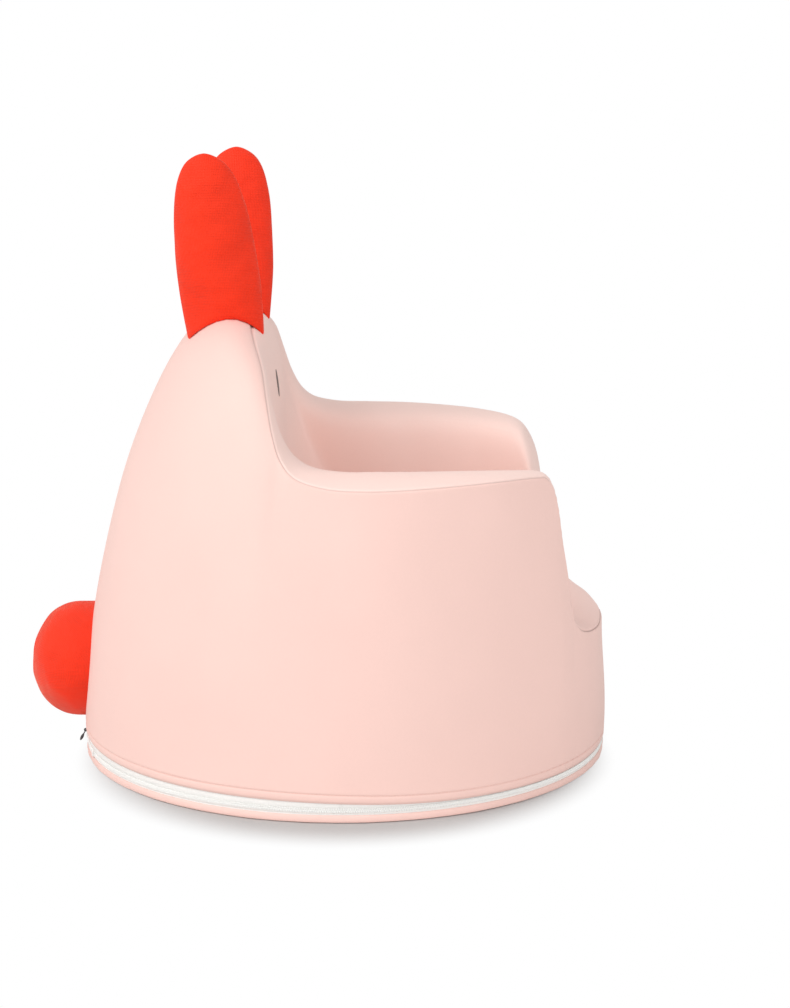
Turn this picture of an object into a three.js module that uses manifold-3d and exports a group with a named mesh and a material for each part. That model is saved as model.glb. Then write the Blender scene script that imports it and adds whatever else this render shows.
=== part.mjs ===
// Child's round foam sofa: a domed back and two arms round a seat, stuffed ears and a tail.
// Its cover closes with a zip all round the floor edge.
// Millimetres, +Z up. The origin is the centre of the base on the floor, and the seat opens towards -Y.
import * as THREE from "three";
import { mergeVertices } from "three/addons/utils/BufferGeometryUtils.js";
import Module from "manifold-3d";

const wasm = await Module();
wasm.setup();

// Body
const bodyRadius = 261;
const wallBulge = 2;
const sideLean = 14; // the wall draws in by this much from the hem to the arm seam
const armHeight = 307;
const archSeamHeight = 436;
const ridgeSetback = 80; // outer seam behind the body's axis at the top of the back
const ridgeRoll = 83; // how far behind the top seam the back panel starts to roll over
const ridgeLift = 66;
const footSetback = 60;
const wellHalfWidth = 152;
const seatLow = 118;
const seatCrest = 158;
const seatBack = -10; // forward of the axis, where the seat starts to rise
const crestForward = 205;
const frontRoll = 23;
const wallRise = 12; // the seat turns up by this much into the inner wall
const seatCentre = 70;
const seatHub = 172; // forward of the axis, seen from every point of the seat's outline

// Cover and foam
const coverThickness = 2.5;
const seamGap = 0.4; // between two panels, at their seam
const fitGap = 0.4; // between a piece and what it lies on
const blockGap = 0.8; // between two blocks of foam
const rimGap = 0.9; // between the seat's cover and the inner wall
const armEndGap = 3; // between the end of an arm's foam and the cover round it
const endRoom = 1; // kept clear ahead of the ends of both arms
const hemGap = 1.2; // between the hem and the zip tape that it covers
const cornerGap = 3; // between the seat and the end of each arm
const padGap = 2; // between the seat's cover and its foam
const seatPadThickness = 40;

// Floor edge
const baseThickness = 2.7;
const stripHeight = 7.5;
const stripThickness = 1.5;
const hemHeight = 16;
const tapeThickness = 1;
const tapeWidth = 13.6;
const tapeParting = 1.2; // between the two halves of the closed zip
const zipHeight = 11.8;
const toothDepth = 1.8;
const toothWidth = 2;

// Slider and pull
const sliderLength = 9;
const sliderPlate = 1;
const sliderClearance = 0.5;
const postLength = 2;
const postThickness = 0.7;
const bridgeBar = 1.5;
const bridgeSpan = 6;
const bridgeRise = 3;
const eyeClearance = 0.35;
const eyeWall = 0.9;
const eyeWidth = 1.8;
const pullLength = 12.5;
const pullTopWidth = 3.2;
const pullWidth = 5.6;
const pullThickness = 1.2;
const pullLean = 28; // degrees off vertical, where the pull's end rests near the floor
const stopLength = 4;
const stopTurn = 3.4; // degrees round the zip from the slider
const endStopTurn = 18;

// Ears and tail
const earHeightRight = 597;
const earHeightLeft = 592;
const earSeat = 415;
const earWidth = 79;
const earThickness = 47;
const earSpacing = 118; // between the feet of the two ears
const earSplay = 33; // each tip stands out by this much past its foot
const earForward = -112;
const earLeanRight = 17; // back from its foot to its tip
const earLeanLeft = -4;
const stuffedCover = 1.6;
const tailRadius = 58.5;
const tailHeight = 86;
const tailRoot = 238;
const tailReach = 315;
const tailShoulder = 265;

// Eyes
const eyeHeight = 27;
const eyeBreadth = 11;
const eyeThickness = 0.9;
const eyeRow = 1.12; // row of the rim table that the eye hangs under
const eyeDrop = 0.125; // share of the inner wall's line

// Outer seam over the back
// Shares of the arm seam's radius across, of the setback and of the rise over the arms
const archShares = [
  [0, 1.08, 1],
  [0.243, 1.095, 0.977],
  [0.466, 1.03, 0.9],
  [0.648, 0.92, 0.757],
  [0.789, 0.852, 0.56],
  [0.879, 0.785, 0.353],
  [0.923, 0.7, 0.195],
  [0.957, 0.55, 0.083],
  [0.985, 0.21, 0.017],
  [0.998, -0.25, 0],
];
// Outer seam along an arm and down its front
// Shares of a half turn from the back and of the arm's height
const armShares = [
  [0.583, 1],
  [0.69, 1],
  [0.76, 0.993],
  [0.781, 0.988],
  [0.792, 0.952],
  [0.7985, 0.885],
  [0.804, 0.79],
  [0.814, 0.66],
  [0.824, 0.53],
];
// Outer seam across the front, in the same shares
const frontShares = [
  [0.842, 0.482],
  [0.87, 0.458],
  [0.917, 0.447],
  [1, 0.443],
];
// Inner seam
// Shares of the well's half width across, of the body's radius forward and of the outer seam's height
const innerShares = [
  [0, -0.253, 0.943],
  [0.355, -0.261, 0.947],
  [0.67, -0.268, 0.95],
  [0.905, -0.262, 0.952],
  [1.05, -0.244, 0.957],
  [1.11, -0.209, 0.962],
  [1.1, -0.155, 0.967],
  [1.066, -0.081, 0.978],
  [1.033, 0.024, 0.99],
  [1.007, 0.148, 0.996],
  [1, 0.299, 0.997],
  [0.905, 0.525, 0.989],
  [0.745, 0.675, 0.982],
  [0.7, 0.711, 0.995],
  [0.68, 0.728, 0.987],
  [0.669, 0.739, 0.985],
  [0.66, 0.748, 0.988],
  [0.65, 0.759, 1.005],
  [0.644, 0.766, 1.05],
];
// Foot of the inner wall on the seat
// Shares of the well's half width across and of the body's radius forward
const footShares = [
  [0, -0.161],
  [0.296, -0.153],
  [0.559, -0.126],
  [0.757, -0.069],
  [0.868, 0],
  [0.934, 0.069],
  [0.967, 0.123],
  [0.98, 0.169],
  [0.987, 0.215],
  [0.987, 0.268],
  [0.974, 0.375],
  [0.895, 0.56],
  [0.75, 0.69],
  [0.71, 0.719],
  [0.69, 0.732],
  [0.678, 0.741],
  [0.668, 0.75],
  [0.658, 0.7605],
  [0.651, 0.768],
];
// Ear along its length: share of the length, of the width and of the thickness
const earShares = [
  [0, 0.92, 0.74],
  [0.12, 0.96, 0.87],
  [0.3, 1, 1],
  [0.42, 0.99, 1],
  [0.55, 0.95, 0.97],
  [0.67, 0.9, 0.91],
  [0.78, 0.81, 0.8],
  [0.87, 0.69, 0.65],
  [0.94, 0.51, 0.47],
  [0.985, 0.25, 0.22],
];
const footHandleShare = 0.407;
const seamHandleShare = 0.33;
const crownShare = 0.075;
const crownFade = 3; // rows above the band's lower end over which its crown flattens
const innerTopShares = [0.3, 0.065]; // down and into the well, of the inner wall's height
const innerFootShares = [0.22, 0.1]; // up and out of the well
const earEdgeShare = 1.3; // above 1 the ear's front and back edges are drawn to a seam
const tailCrownShare = 2.1;
const seatTurnShare = 4;
const pullRoundShare = 0.45;

// Mesh density
const stationPitch = 33;
const wallSteps = 10;
const bandSteps = 4;
const innerSteps = 6;
const sideSteps = 4;
const seatRings = 4;
const roundSteps = 60;
const earSides = 16;
const tailSides = 22;
const tailSteps = 6;
const earSteps = 13;
const eyeSides = 20;
const barSides = 12;
const loopSides = 16;
const pullRoundSteps = 4;

const bandColumn = wallSteps;
const innerColumn = bandColumn + bandSteps;
const footColumn = innerColumn + innerSteps;
const lastBandRow = innerShares.length - 1;
const lastInnerRow = lastBandRow - 1;
const lastRow = archShares.length + armShares.length + frontShares.length - 1;
const lowSteps = 2;
const splitColumn = 7;
const roundOff = 1e-6;
const up = new THREE.Vector3(0, 0, 1);

const place = (across, forward, height) => new THREE.Vector3(across, -forward, height);
const direction = (turn) => place(Math.sin(turn), -Math.cos(turn), 0);
const wallRadius = (height) => bodyRadius - sideLean * (height / armHeight) ** 2;
const onWall = ([turnShare, heightShare]) => {
  const height = heightShare * armHeight;
  return direction(turnShare * Math.PI).multiplyScalar(wallRadius(height)).setZ(height);
};
const moved = (point, vector, length) => point.clone().addScaledVector(vector, length);

// Guide curves, each from the front centre round the back to the front centre, one point to a row
function guide(half) {
  const mirrored = half.slice(1).reverse().map((p) => new THREE.Vector3(-p.x, p.y, p.z));
  const curve = new THREE.CatmullRomCurve3([...mirrored, ...half], false, "centripetal");
  const rows = half.length - 1;
  return (row) => curve.getPoint((row / rows + 1) / 2);
}

// The seat rises to a crest and rolls off all round towards the front wall
const seatHeight = (across, forward) => {
  const rise = THREE.MathUtils.smoothstep(forward, seatBack, crestForward);
  const beyond = Math.hypot(across, Math.max(0, forward)) - crestForward;
  const roll = Math.max(0, beyond) / (wallRadius(0) - crestForward);
  return seatLow + (seatCrest - seatLow) * rise - frontRoll * roll ** 2;
};

const archRow = ([across, back, rise]) =>
  place(
    across * wallRadius(armHeight),
    -back * ridgeSetback,
    armHeight + rise * (archSeamHeight - armHeight),
  );
const rimRows = [
  ...archShares.map(archRow),
  ...armShares.map(onWall),
  ...frontShares.map(onWall),
];
const innerRows = innerShares.map(([across, forward, height], row) =>
  place(across * wellHalfWidth, forward * bodyRadius, height * rimRows[row].z),
);
const footRows = footShares.map(([across, forward]) =>
  place(
    across * wellHalfWidth,
    forward * bodyRadius,
    seatHeight(across * wellHalfWidth, forward * bodyRadius) + wallRise,
  ),
);
const outerRim = guide(rimRows);
const innerRim = guide(innerRows);
const wellFoot = guide(footRows);

// The outer wall's line under one point of the seam: upright at the hem, rolled over the ridge at the back
function wallLine(seam) {
  const lift = Math.max(0, seam.z - armHeight) / (archSeamHeight - armHeight);
  const out = direction(Math.atan2(seam.x, seam.y + lift * footSetback));
  const foot = out.clone().multiplyScalar(bodyRadius).setZ(hemHeight);
  const rise = seam.z - hemHeight;
  const lower = moved(foot, out, wallBulge).addScaledVector(up, footHandleShare * rise);
  const handle = seamHandleShare * rise;
  const slope = (2 * sideLean * seam.z) / armHeight ** 2;
  const upper = moved(seam, out, lift * ridgeRoll + (1 - lift) * slope * handle);
  upper.addScaledVector(up, lift * ridgeLift - (1 - lift) * handle);
  return new THREE.CubicBezierCurve3(foot, lower, upper, seam);
}

const bandFacing = place(0, 1, 1); // the band bulges up and forward

// The band from the outer seam over the crest to the inner seam
function bandLine(row, seam, inner) {
  const step = 0.05;
  const along = outerRim(row + step).sub(outerRim(row - step));
  const chord = inner.clone().sub(seam);
  const crown = along.cross(chord).normalize();
  const fade = Math.min(1, (lastBandRow - Math.abs(row)) / crownFade);
  const height = Math.sign(crown.dot(bandFacing)) * 2 * fade * crownShare * chord.length();
  const middle = moved(seam.clone().lerp(inner, 1 / 2), crown, height);
  return new THREE.QuadraticBezierCurve3(seam, middle, inner);
}

function innerLine(inner, foot) {
  const height = inner.z - foot.z;
  const inward = place(0, seatCentre, 0).sub(foot).setZ(0).normalize();
  const [down, swell] = innerTopShares;
  const [rise, tuck] = innerFootShares;
  const upper = moved(inner, up, -down * height).addScaledVector(inward, swell * height);
  const lower = moved(foot, up, rise * height).addScaledVector(inward, -tuck * height);
  return new THREE.CubicBezierCurve3(inner, upper, lower, foot);
}

const nextToSeat = (point) => {
  const inward = place(0, seatCentre, 0).sub(point).setZ(0).normalize();
  return moved(point, inward, wallRise);
};

// One cross-section of the cover, from the hem up to the seam and, but at the front, down to the seat.
// Its last point lies on the seat and only turns the edge's normal.
function section(row) {
  const seam = outerRim(row);
  const points = wallLine(seam).getPoints(wallSteps);
  if (Math.abs(row) > lastBandRow) return [...points, nextToSeat(seam)];
  const inner = innerRim(row);
  const foot = wellFoot(row);
  points.push(...bandLine(row, seam, inner).getPoints(bandSteps).slice(1));
  points.push(...innerLine(inner, foot).getPoints(innerSteps).slice(1));
  return [...points, nextToSeat(foot)];
}

// Rows of the rim at which the cover is cut into cross-sections, about one pitch apart
const stations = [-lastRow];
for (let row = -lastRow; row < lastRow; row++) {
  const feet = wallLine(outerRim(row)).v0.distanceTo(wallLine(outerRim(row + 1)).v0);
  const length = Math.max(feet, outerRim(row).distanceTo(outerRim(row + 1)));
  const steps = Math.max(1, Math.round(length / stationPitch));
  for (let step = 1; step <= steps; step++) stations.push(row + step / steps);
}
const skin = stations.map(section);
const firstBand = stations.indexOf(-lastBandRow);
const lastBand = stations.indexOf(lastBandRow);
const ring = stations.length - 1; // the last cross-section repeats the first

// The direction through a point, halfway between those of its two edges
function through(before, point, after) {
  const back = before ? point.clone().sub(before).normalize() : new THREE.Vector3();
  const on = after ? after.clone().sub(point).normalize() : new THREE.Vector3();
  return back.add(on);
}

function skinNormal(i, j) {
  const beside = (k) => (j <= bandColumn || skin[k].length === skin[i].length ? skin[k][j] : null);
  const along = through(beside((i + ring - 1) % ring), skin[i][j], beside((i + 1) % ring));
  const across = through(skin[i][j - 1], skin[i][j], skin[i][j + 1]);
  return across.cross(along).normalize();
}
const normals = skin.map((points, i) => points.map((_, j) => skinNormal(i, j)));
const deep = (i, j, depth) => moved(skin[i][j], normals[i][j], -depth);

// The same point drawn back from a panel's edge towards its next column
function drawnBack(i, j, towards, depth, gap) {
  const point = deep(i, j, depth);
  const next = deep(i, towards, depth);
  return point.lerp(next, gap / point.distanceTo(next));
}

// A closed solid from points and triangles, turned so that its faces point out
function closedSolid(points, faces) {
  const volume = faces.reduce((sum, [a, b, c]) => {
    const cross = points[b].clone().cross(points[c]);
    return sum + points[a].dot(cross);
  }, 0);
  const turned = volume < 0 ? faces.map(([a, b, c]) => [a, c, b]) : faces;
  const geometry = new THREE.BufferGeometry().setFromPoints(points);
  geometry.setIndex(turned.flat());
  return geometry;
}

// Two triangles for four corners; a mirrored pair is split along the other diagonal
const quad = (a, b, c, d, mirrored = false) =>
  mirrored
    ? [
        [a, b, d],
        [b, c, d],
      ]
    : [
        [a, b, c],
        [a, c, d],
      ];

// A sheet between two matching grids of points, whose first rows, up to the middle, mirror the others.
// A ringed one closes on itself along its rows.
function sheet(front, back, ringed) {
  const rows = front.length;
  const columns = front[0].length;
  const faces = [];
  const at = (side, i, j) => (side * rows + (i % rows)) * columns + j;
  const bands = ringed ? rows : rows - 1;
  for (let i = 0; i < bands; i++) {
    const mirrored = i < bands / 2;
    for (let j = 0; j < columns - 1; j++)
      for (const side of [0, 1]) {
        const corners = [at(side, i, j), at(side, i, j + 1), at(side, i + 1, j + 1), at(side, i + 1, j)];
        const pair = quad(...corners, mirrored);
        faces.push(...(side ? pair.map(([a, b, c]) => [a, c, b]) : pair));
      }
    const top = columns - 1;
    faces.push(...quad(at(0, i, 0), at(0, i + 1, 0), at(1, i + 1, 0), at(1, i, 0)));
    faces.push(...quad(at(0, i, top), at(1, i, top), at(1, i + 1, top), at(0, i + 1, top)));
  }
  for (let j = 0; j < columns - 1 && !ringed; j++) {
    const end = rows - 1;
    faces.push(...quad(at(0, 0, j), at(1, 0, j), at(1, 0, j + 1), at(0, 0, j + 1)));
    faces.push(...quad(at(0, end, j), at(0, end, j + 1), at(1, end, j + 1), at(1, end, j)));
  }
  return closedSolid([...front.flat(), ...back.flat()], faces);
}

// A solid through a row of closed loops; each end is closed by rungs across its loop
function loft(loops, mirrored) {
  const size = loops[0].length;
  const faces = [];
  const at = (i, j) => i * size + (j % size);
  for (let i = 0; i < loops.length - 1; i++)
    for (let j = 0; j < size; j++)
      faces.push(...quad(at(i, j), at(i, j + 1), at(i + 1, j + 1), at(i + 1, j), mirrored(i)));
  const end = loops.length - 1;
  for (let j = 0; j < (size - 1) / 2; j++) {
    const far = size - 1 - j;
    faces.push([at(0, j), at(0, far), at(0, j + 1)], [at(end, j), at(end, j + 1), at(end, far)]);
    if (far - 1 > j + 1) {
      faces.push([at(0, j + 1), at(0, far), at(0, far - 1)]);
      faces.push([at(end, j + 1), at(end, far - 1), at(end, far)]);
    }
  }
  return closedSolid(loops.flat(), faces);
}

// A solid whose surface is a run of closed rings between two poles
function poled(start, rings, end) {
  const size = rings[0].length;
  const points = [start, ...rings.flat(), end];
  const at = (i, j) => 1 + i * size + (j % size);
  const between = (a, b) => points[a].distanceTo(points[b]);
  const faces = [];
  for (let j = 0; j < size; j++) {
    faces.push([0, at(0, j + 1), at(0, j)]);
    faces.push([points.length - 1, at(rings.length - 1, j), at(rings.length - 1, j + 1)]);
    for (let i = 0; i < rings.length - 1; i++) {
      const corners = [at(i, j), at(i, j + 1), at(i + 1, j + 1), at(i + 1, j)];
      const [a, b, c, d] = corners;
      faces.push(...quad(...corners, between(a, c) > between(b, d) + roundOff));
    }
  }
  return closedSolid(points, faces);
}

// A ring turned about the vertical axis from a closed outline of radii and heights
function turnedRing(outline) {
  const points = [...outline, outline[0]].map(([radius, height]) => new THREE.Vector2(radius, height));
  const geometry = new THREE.LatheGeometry(points, roundSteps).rotateX(Math.PI / 2);
  return merged(geometry);
}

function merged(geometry) {
  const bare = geometry.index ? geometry.toNonIndexed() : geometry.clone();
  bare.deleteAttribute("normal");
  bare.deleteAttribute("uv");
  const joined = mergeVertices(bare);
  const ids = joined.index.array;
  const faces = [];
  for (let k = 0; k < ids.length; k += 3) {
    const face = [ids[k], ids[k + 1], ids[k + 2]];
    if (new Set(face).size === face.length) faces.push(face);
  }
  const position = joined.getAttribute("position");
  const points = Array.from({ length: position.count }, (_, k) =>
    new THREE.Vector3().fromBufferAttribute(position, k),
  );
  return closedSolid(points, faces);
}

const box = (x0, x1, y0, y1, z0, z1) =>
  new THREE.BoxGeometry(x1 - x0, y1 - y0, z1 - z0).translate(
    (x0 + x1) / 2,
    (y0 + y1) / 2,
    (z0 + z1) / 2,
  );

function toSolid(geometry) {
  const source = merged(geometry);
  return new wasm.Manifold(
    new wasm.Mesh({
      numProp: 3,
      vertProperties: new Float32Array(source.getAttribute("position").array),
      triVerts: new Uint32Array(source.index.array),
    }),
  );
}

function toGeometry(solid) {
  const mesh = solid.getMesh();
  const geometry = new THREE.BufferGeometry();
  geometry.setAttribute("position", new THREE.BufferAttribute(mesh.vertProperties, mesh.numProp));
  geometry.setIndex(new THREE.BufferAttribute(mesh.triVerts, 1));
  return geometry;
}

// What is left of a body outside the tools; crumbs that a cut leaves at an edge are dropped
function cut(body, ...tools) {
  const rest = tools.reduce((left, tool) => left.subtract(toSolid(tool)), toSolid(body));
  return toGeometry(rest.decompose().reduce((a, b) => (a.volume() > b.volume() ? a : b)));
}
const join = (first, ...others) =>
  toGeometry(others.reduce((sum, other) => sum.add(toSolid(other)), toSolid(first)));

// Cover panels

function outerPanel() {
  const side = (depth) =>
    skin.slice(0, ring).map((_, i) => [
      ...Array.from({ length: bandColumn }, (_, j) => deep(i, j, depth)),
      drawnBack(i, bandColumn, bandColumn - 1, depth, seamGap / 2),
    ]);
  return sheet(side(0), side(coverThickness), true);
}

// A row of points drawn by a length towards the next row, or away from it where the length is negative
const drawn = (row, next, length) =>
  row.map((point, j) => point.clone().lerp(next[j], length / point.distanceTo(next[j])));

// A panel between two columns as far as a row on each side, drawn back at its edges and ends
function strip([first, last], lastEnd, [outerDepth, innerDepth], [edgeGap, endGap]) {
  const start = stations.indexOf(-lastEnd);
  const end = stations.indexOf(lastEnd);
  const side = (depth) => {
    const rows = [];
    for (let i = start; i <= end; i++) {
      const middle = Array.from({ length: last - first - 1 }, (_, j) => deep(i, first + 1 + j, depth));
      rows.push([
        drawnBack(i, first, first + 1, depth, edgeGap),
        ...middle,
        drawnBack(i, last, last - 1, depth, edgeGap),
      ]);
    }
    const [top, next] = rows;
    const [before, bottom] = rows.slice(-2);
    return [drawn(top, next, endGap), ...rows.slice(1, -1), drawn(bottom, before, endGap)];
  };
  return sheet(side(outerDepth), side(innerDepth), false);
}

// The seat's outline: the foot of the inner wall, sunk by a drop, then one column of the front wall
function seatOutline(depth, drop, column) {
  const foot = [];
  for (let i = firstBand; i <= lastBand; i++) foot.push(moved(deep(i, footColumn, depth), up, -drop));
  const front = [];
  const sink = column === bandColumn ? drop : 0;
  for (let i = lastBand; i <= ring + firstBand; i++)
    front.push(moved(deep(i % ring, column, depth), up, -sink));
  return [...foot, ...front];
}

const feet = lastBand - firstBand + 1;

// Rings of the seat's surface from its hub out to a gap inside its outline, at a depth under the seat
function seatSurface(depth, gap, outside) {
  const outline = outside.map((point, k) => {
    if (k >= feet) return point.clone().lerp(place(0, seatCentre, point.z), gap / bodyRadius);
    const inward = place(0, seatCentre, 0).sub(point).setZ(0).normalize();
    return moved(point, inward, gap);
  });
  // At the two front corners the outline keeps clear of the end of each arm
  for (const k of [0, feet - 1]) outline[k].add(place(0, cornerGap, 0));
  for (const [k, next] of [
    [feet, feet + 1],
    [outline.length - 1, outline.length - 2],
  ])
    outline[k].lerp(outline[next], cornerGap / outline[k].distanceTo(outline[next]));
  const hub = place(0, seatHub, seatHeight(0, seatHub) - depth);
  const rings = [];
  for (let k = 1; k <= seatRings; k++) {
    const share = k / seatRings;
    rings.push(
      outline.map((rim) => {
        const point = hub.clone().lerp(rim, share);
        const turnUp = rim.z - (seatHeight(rim.x, -rim.y) - depth);
        return point.setZ(seatHeight(point.x, -point.y) - depth + turnUp * share ** seatTurnShare);
      }),
    );
  }
  return { hub, rings };
}

function seatPanel() {
  const top = seatSurface(0, rimGap, seatOutline(0, 0, bandColumn));
  const bottom = seatSurface(coverThickness, rimGap, seatOutline(coverThickness, 0, bandColumn));
  return poled(top.hub, [...top.rings, ...bottom.rings.reverse()], bottom.hub);
}

// Foam

const foamDepth = coverThickness + fitGap;
const zipInner = bodyRadius - coverThickness - hemGap - tapeThickness;
const foamLowRadius = zipInner - sliderPlate - 2 * sliderClearance;
const foamLow = baseThickness + fitGap;
const foamLowTop = zipHeight + tapeParting / 2 + tapeWidth + fitGap;

// The foam's lower edge at a cross-section, drawn in behind the zip
function drawnIn(point) {
  const low = direction(Math.atan2(point.x, point.y)).multiplyScalar(foamLowRadius);
  return [low.clone().setZ(foamLow), low.clone().setZ(foamLowTop)];
}

// One loop of the back and arms: up the outer wall, over the band, down the inner wall and on to the floor
function horseshoeLoop(i, depth) {
  const loop = depth > 0 ? drawnIn(skin[i][0]) : [deep(i, 0, depth), deep(i, 1, depth)];
  for (let j = lowSteps; j <= footColumn; j++) loop.push(deep(i, j, depth));
  const foot = loop[loop.length - 1];
  for (let k = 1; k <= sideSteps; k++)
    loop.push(foot.clone().setZ(THREE.MathUtils.lerp(foot.z, foamLow, k / sideSteps)));
  return loop;
}

// Foam from one cross-section to another, with its two ends drawn back
function horseshoe(from, to, depth, fromGap, toGap) {
  const loops = [];
  for (let i = from; i <= to; i++) loops.push(horseshoeLoop(i, depth));
  const [start, next] = loops;
  const [before, end] = loops.slice(-2);
  const all = [drawn(start, next, fromGap), ...loops.slice(1, -1), drawn(end, before, toGap)];
  return loft(all, (i) => stations[from + i] < 0);
}

const padDepth = coverThickness + padGap;
const padBottom = padDepth + seatPadThickness;
const sunk = (drop, column) => seatOutline(foamDepth, drop, column);

function seatPad() {
  const top = seatSurface(padDepth, blockGap, sunk(padGap, bandColumn));
  const bottom = seatSurface(padBottom, blockGap, sunk(seatPadThickness, splitColumn));
  return poled(top.hub, [...top.rings, ...bottom.rings.reverse()], bottom.hub);
}

function baseBlock() {
  const top = seatSurface(padBottom, blockGap, sunk(seatPadThickness, splitColumn));
  for (const point of [top.hub, ...top.rings.flat()]) point.z -= fitGap;
  const lowRim = top.rings[top.rings.length - 1].map((point) => {
    const radius = Math.min(foamLowRadius, Math.hypot(point.x, point.y));
    return direction(Math.atan2(point.x, point.y)).multiplyScalar(radius);
  });
  const shoulder = lowRim.map((point) => point.clone().setZ(foamLowTop));
  const foot = lowRim.map((point) => point.clone().setZ(foamLow));
  const hub = place(0, seatCentre, foamLow);
  const inner = foot.map((point) => hub.clone().lerp(point, 1 / 2));
  return poled(top.hub, [...top.rings, shoulder, foot, inner], hub);
}

// Ears

// An ear drawn in by a wall: a lens-shaped section swept from its foot, under the ridge, to its tip
function earBody(side, height, lean, wall) {
  const foot = place((side * earSpacing) / 2, earForward, earSeat);
  const tip = place(side * (earSpacing / 2 + earSplay), earForward - lean, height - wall);
  const shares = new THREE.CatmullRomCurve3(earShares.map((row) => new THREE.Vector3(...row)));
  const rings = [];
  for (let k = 0; k <= earSteps; k++) {
    const { x: along, y: wide, z: thick } = shares.getPoint(k / earSteps);
    const centre = foot.clone().lerp(tip, along);
    const halfWidth = (wide * earWidth) / 2 - wall;
    const halfThickness = (thick * earThickness) / 2 - wall;
    if (halfThickness <= wall || halfWidth <= wall) break;
    rings.push(
      Array.from({ length: earSides }, (_, s) => {
        const angle = (s / earSides) * 2 * Math.PI;
        const swell = Math.sign(Math.sin(angle)) * Math.abs(Math.sin(angle)) ** earEdgeShare;
        return centre.clone().add(place(halfThickness * swell, halfWidth * Math.cos(angle), 0));
      }),
    );
  }
  return poled(foot, rings, tip);
}

// Tail

function tailBody(wall) {
  const ringAt = (back, radius) =>
    Array.from({ length: tailSides }, (_, s) => {
      const angle = (s / tailSides) * 2 * Math.PI;
      return place(radius * Math.cos(angle), -back, tailHeight + radius * Math.sin(angle));
    });
  const radius = tailRadius - wall;
  const reach = tailReach - wall - tailShoulder;
  const rings = [ringAt(tailRoot, radius), ringAt(tailShoulder, radius)];
  for (let k = 1; k < tailSteps; k++) {
    const share = Math.sin(((k / tailSteps) * Math.PI) / 2);
    const rest = (1 - share ** tailCrownShare) ** (1 / tailCrownShare);
    rings.push(ringAt(tailShoulder + share * reach, radius * rest));
  }
  return poled(
    place(0, -tailRoot, tailHeight),
    rings,
    place(0, -(tailShoulder + reach), tailHeight),
  );
}

// Eyes

function eye(side) {
  const surfaceAt = (row, share) => {
    const inner = innerRim(row);
    return innerLine(inner, wellFoot(row)).getPoint(share);
  };
  const row = side * eyeRow;
  const step = 0.02;
  const centre = surfaceAt(row, eyeDrop);
  const alongRow = surfaceAt(row + step, eyeDrop).sub(centre).length() / step;
  const alongDrop = surfaceAt(row, eyeDrop + step).sub(centre).length() / step;
  const across = surfaceAt(row + step, eyeDrop).sub(centre);
  const down = surfaceAt(row, eyeDrop + step).sub(centre);
  const out = across.cross(down).normalize();
  if (out.y > 0) out.negate();
  const ringAt = (share, height) =>
    Array.from({ length: eyeSides }, (_, s) => {
      const angle = (s / eyeSides) * 2 * Math.PI;
      const rowShift = (share * (eyeBreadth / 2) * Math.cos(angle)) / alongRow;
      const dropShift = (share * (eyeHeight / 2) * Math.sin(angle)) / alongDrop;
      return moved(surfaceAt(row + rowShift, eyeDrop + dropShift), out, height);
    });
  const top = fitGap + eyeThickness;
  const rings = [ringAt(1 / 2, fitGap), ringAt(1, fitGap), ringAt(1, (fitGap + top) / 2)];
  rings.push(ringAt(3 / 4, top));
  return poled(moved(centre, out, fitGap), rings, moved(centre, out, top));
}

// Zip

const tapeOuter = zipInner + tapeThickness;
const toothInner = tapeOuter + fitGap;
const toothOuter = toothInner + toothDepth;
const partingTop = zipHeight + tapeParting / 2;
const partingLow = zipHeight - tapeParting / 2;

const ringBetween = (inner, outer, low, high) =>
  turnedRing([
    [inner, low],
    [outer, low],
    [outer, high],
    [inner, high],
  ]);

// A coil of teeth drawn as its envelope: a rounded bead on the tape's edge
const toothRow = (low) =>
  turnedRing([
    [toothInner, low],
    [toothOuter, low + toothWidth / 4],
    [toothOuter, low + (3 * toothWidth) / 4],
    [toothInner, low + toothWidth],
  ]);

const frontPlate = toothOuter + sliderClearance;
const frontPlateOut = frontPlate + sliderPlate;
const backPlateOut = zipInner - sliderClearance;
const backPlate = backPlateOut - sliderPlate;
const barCentre = frontPlateOut + bridgeRise - bridgeBar / 2;
const plateHalfHeight = tapeParting / 2 + toothWidth;

function slider() {
  const half = sliderLength / 2;
  const span = bridgeSpan / 2;
  const low = zipHeight - plateHalfHeight;
  const high = zipHeight + plateHalfHeight;
  const plate = box(-half, half, frontPlate, frontPlateOut, low, high);
  const back = box(-half, half, backPlate, backPlateOut, low, high);
  const post = box(
    -postLength / 2,
    postLength / 2,
    backPlate,
    frontPlateOut,
    zipHeight - postThickness / 2,
    zipHeight + postThickness / 2,
  );
  const foot = (sign) => {
    const outer = sign * span;
    const inner = sign * (span - bridgeBar);
    return box(
      Math.min(outer, inner),
      Math.max(outer, inner),
      frontPlate,
      barCentre + bridgeBar / 2,
      zipHeight - bridgeBar / 2,
      zipHeight + bridgeBar / 2,
    );
  };
  const radius = bridgeBar / 2;
  const bar = new THREE.CylinderGeometry(radius, radius, bridgeSpan - bridgeBar, barSides)
    .rotateZ(Math.PI / 2)
    .translate(0, barCentre, zipHeight);
  return join(plate, back, post, foot(1), foot(-1), bar);
}

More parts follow.
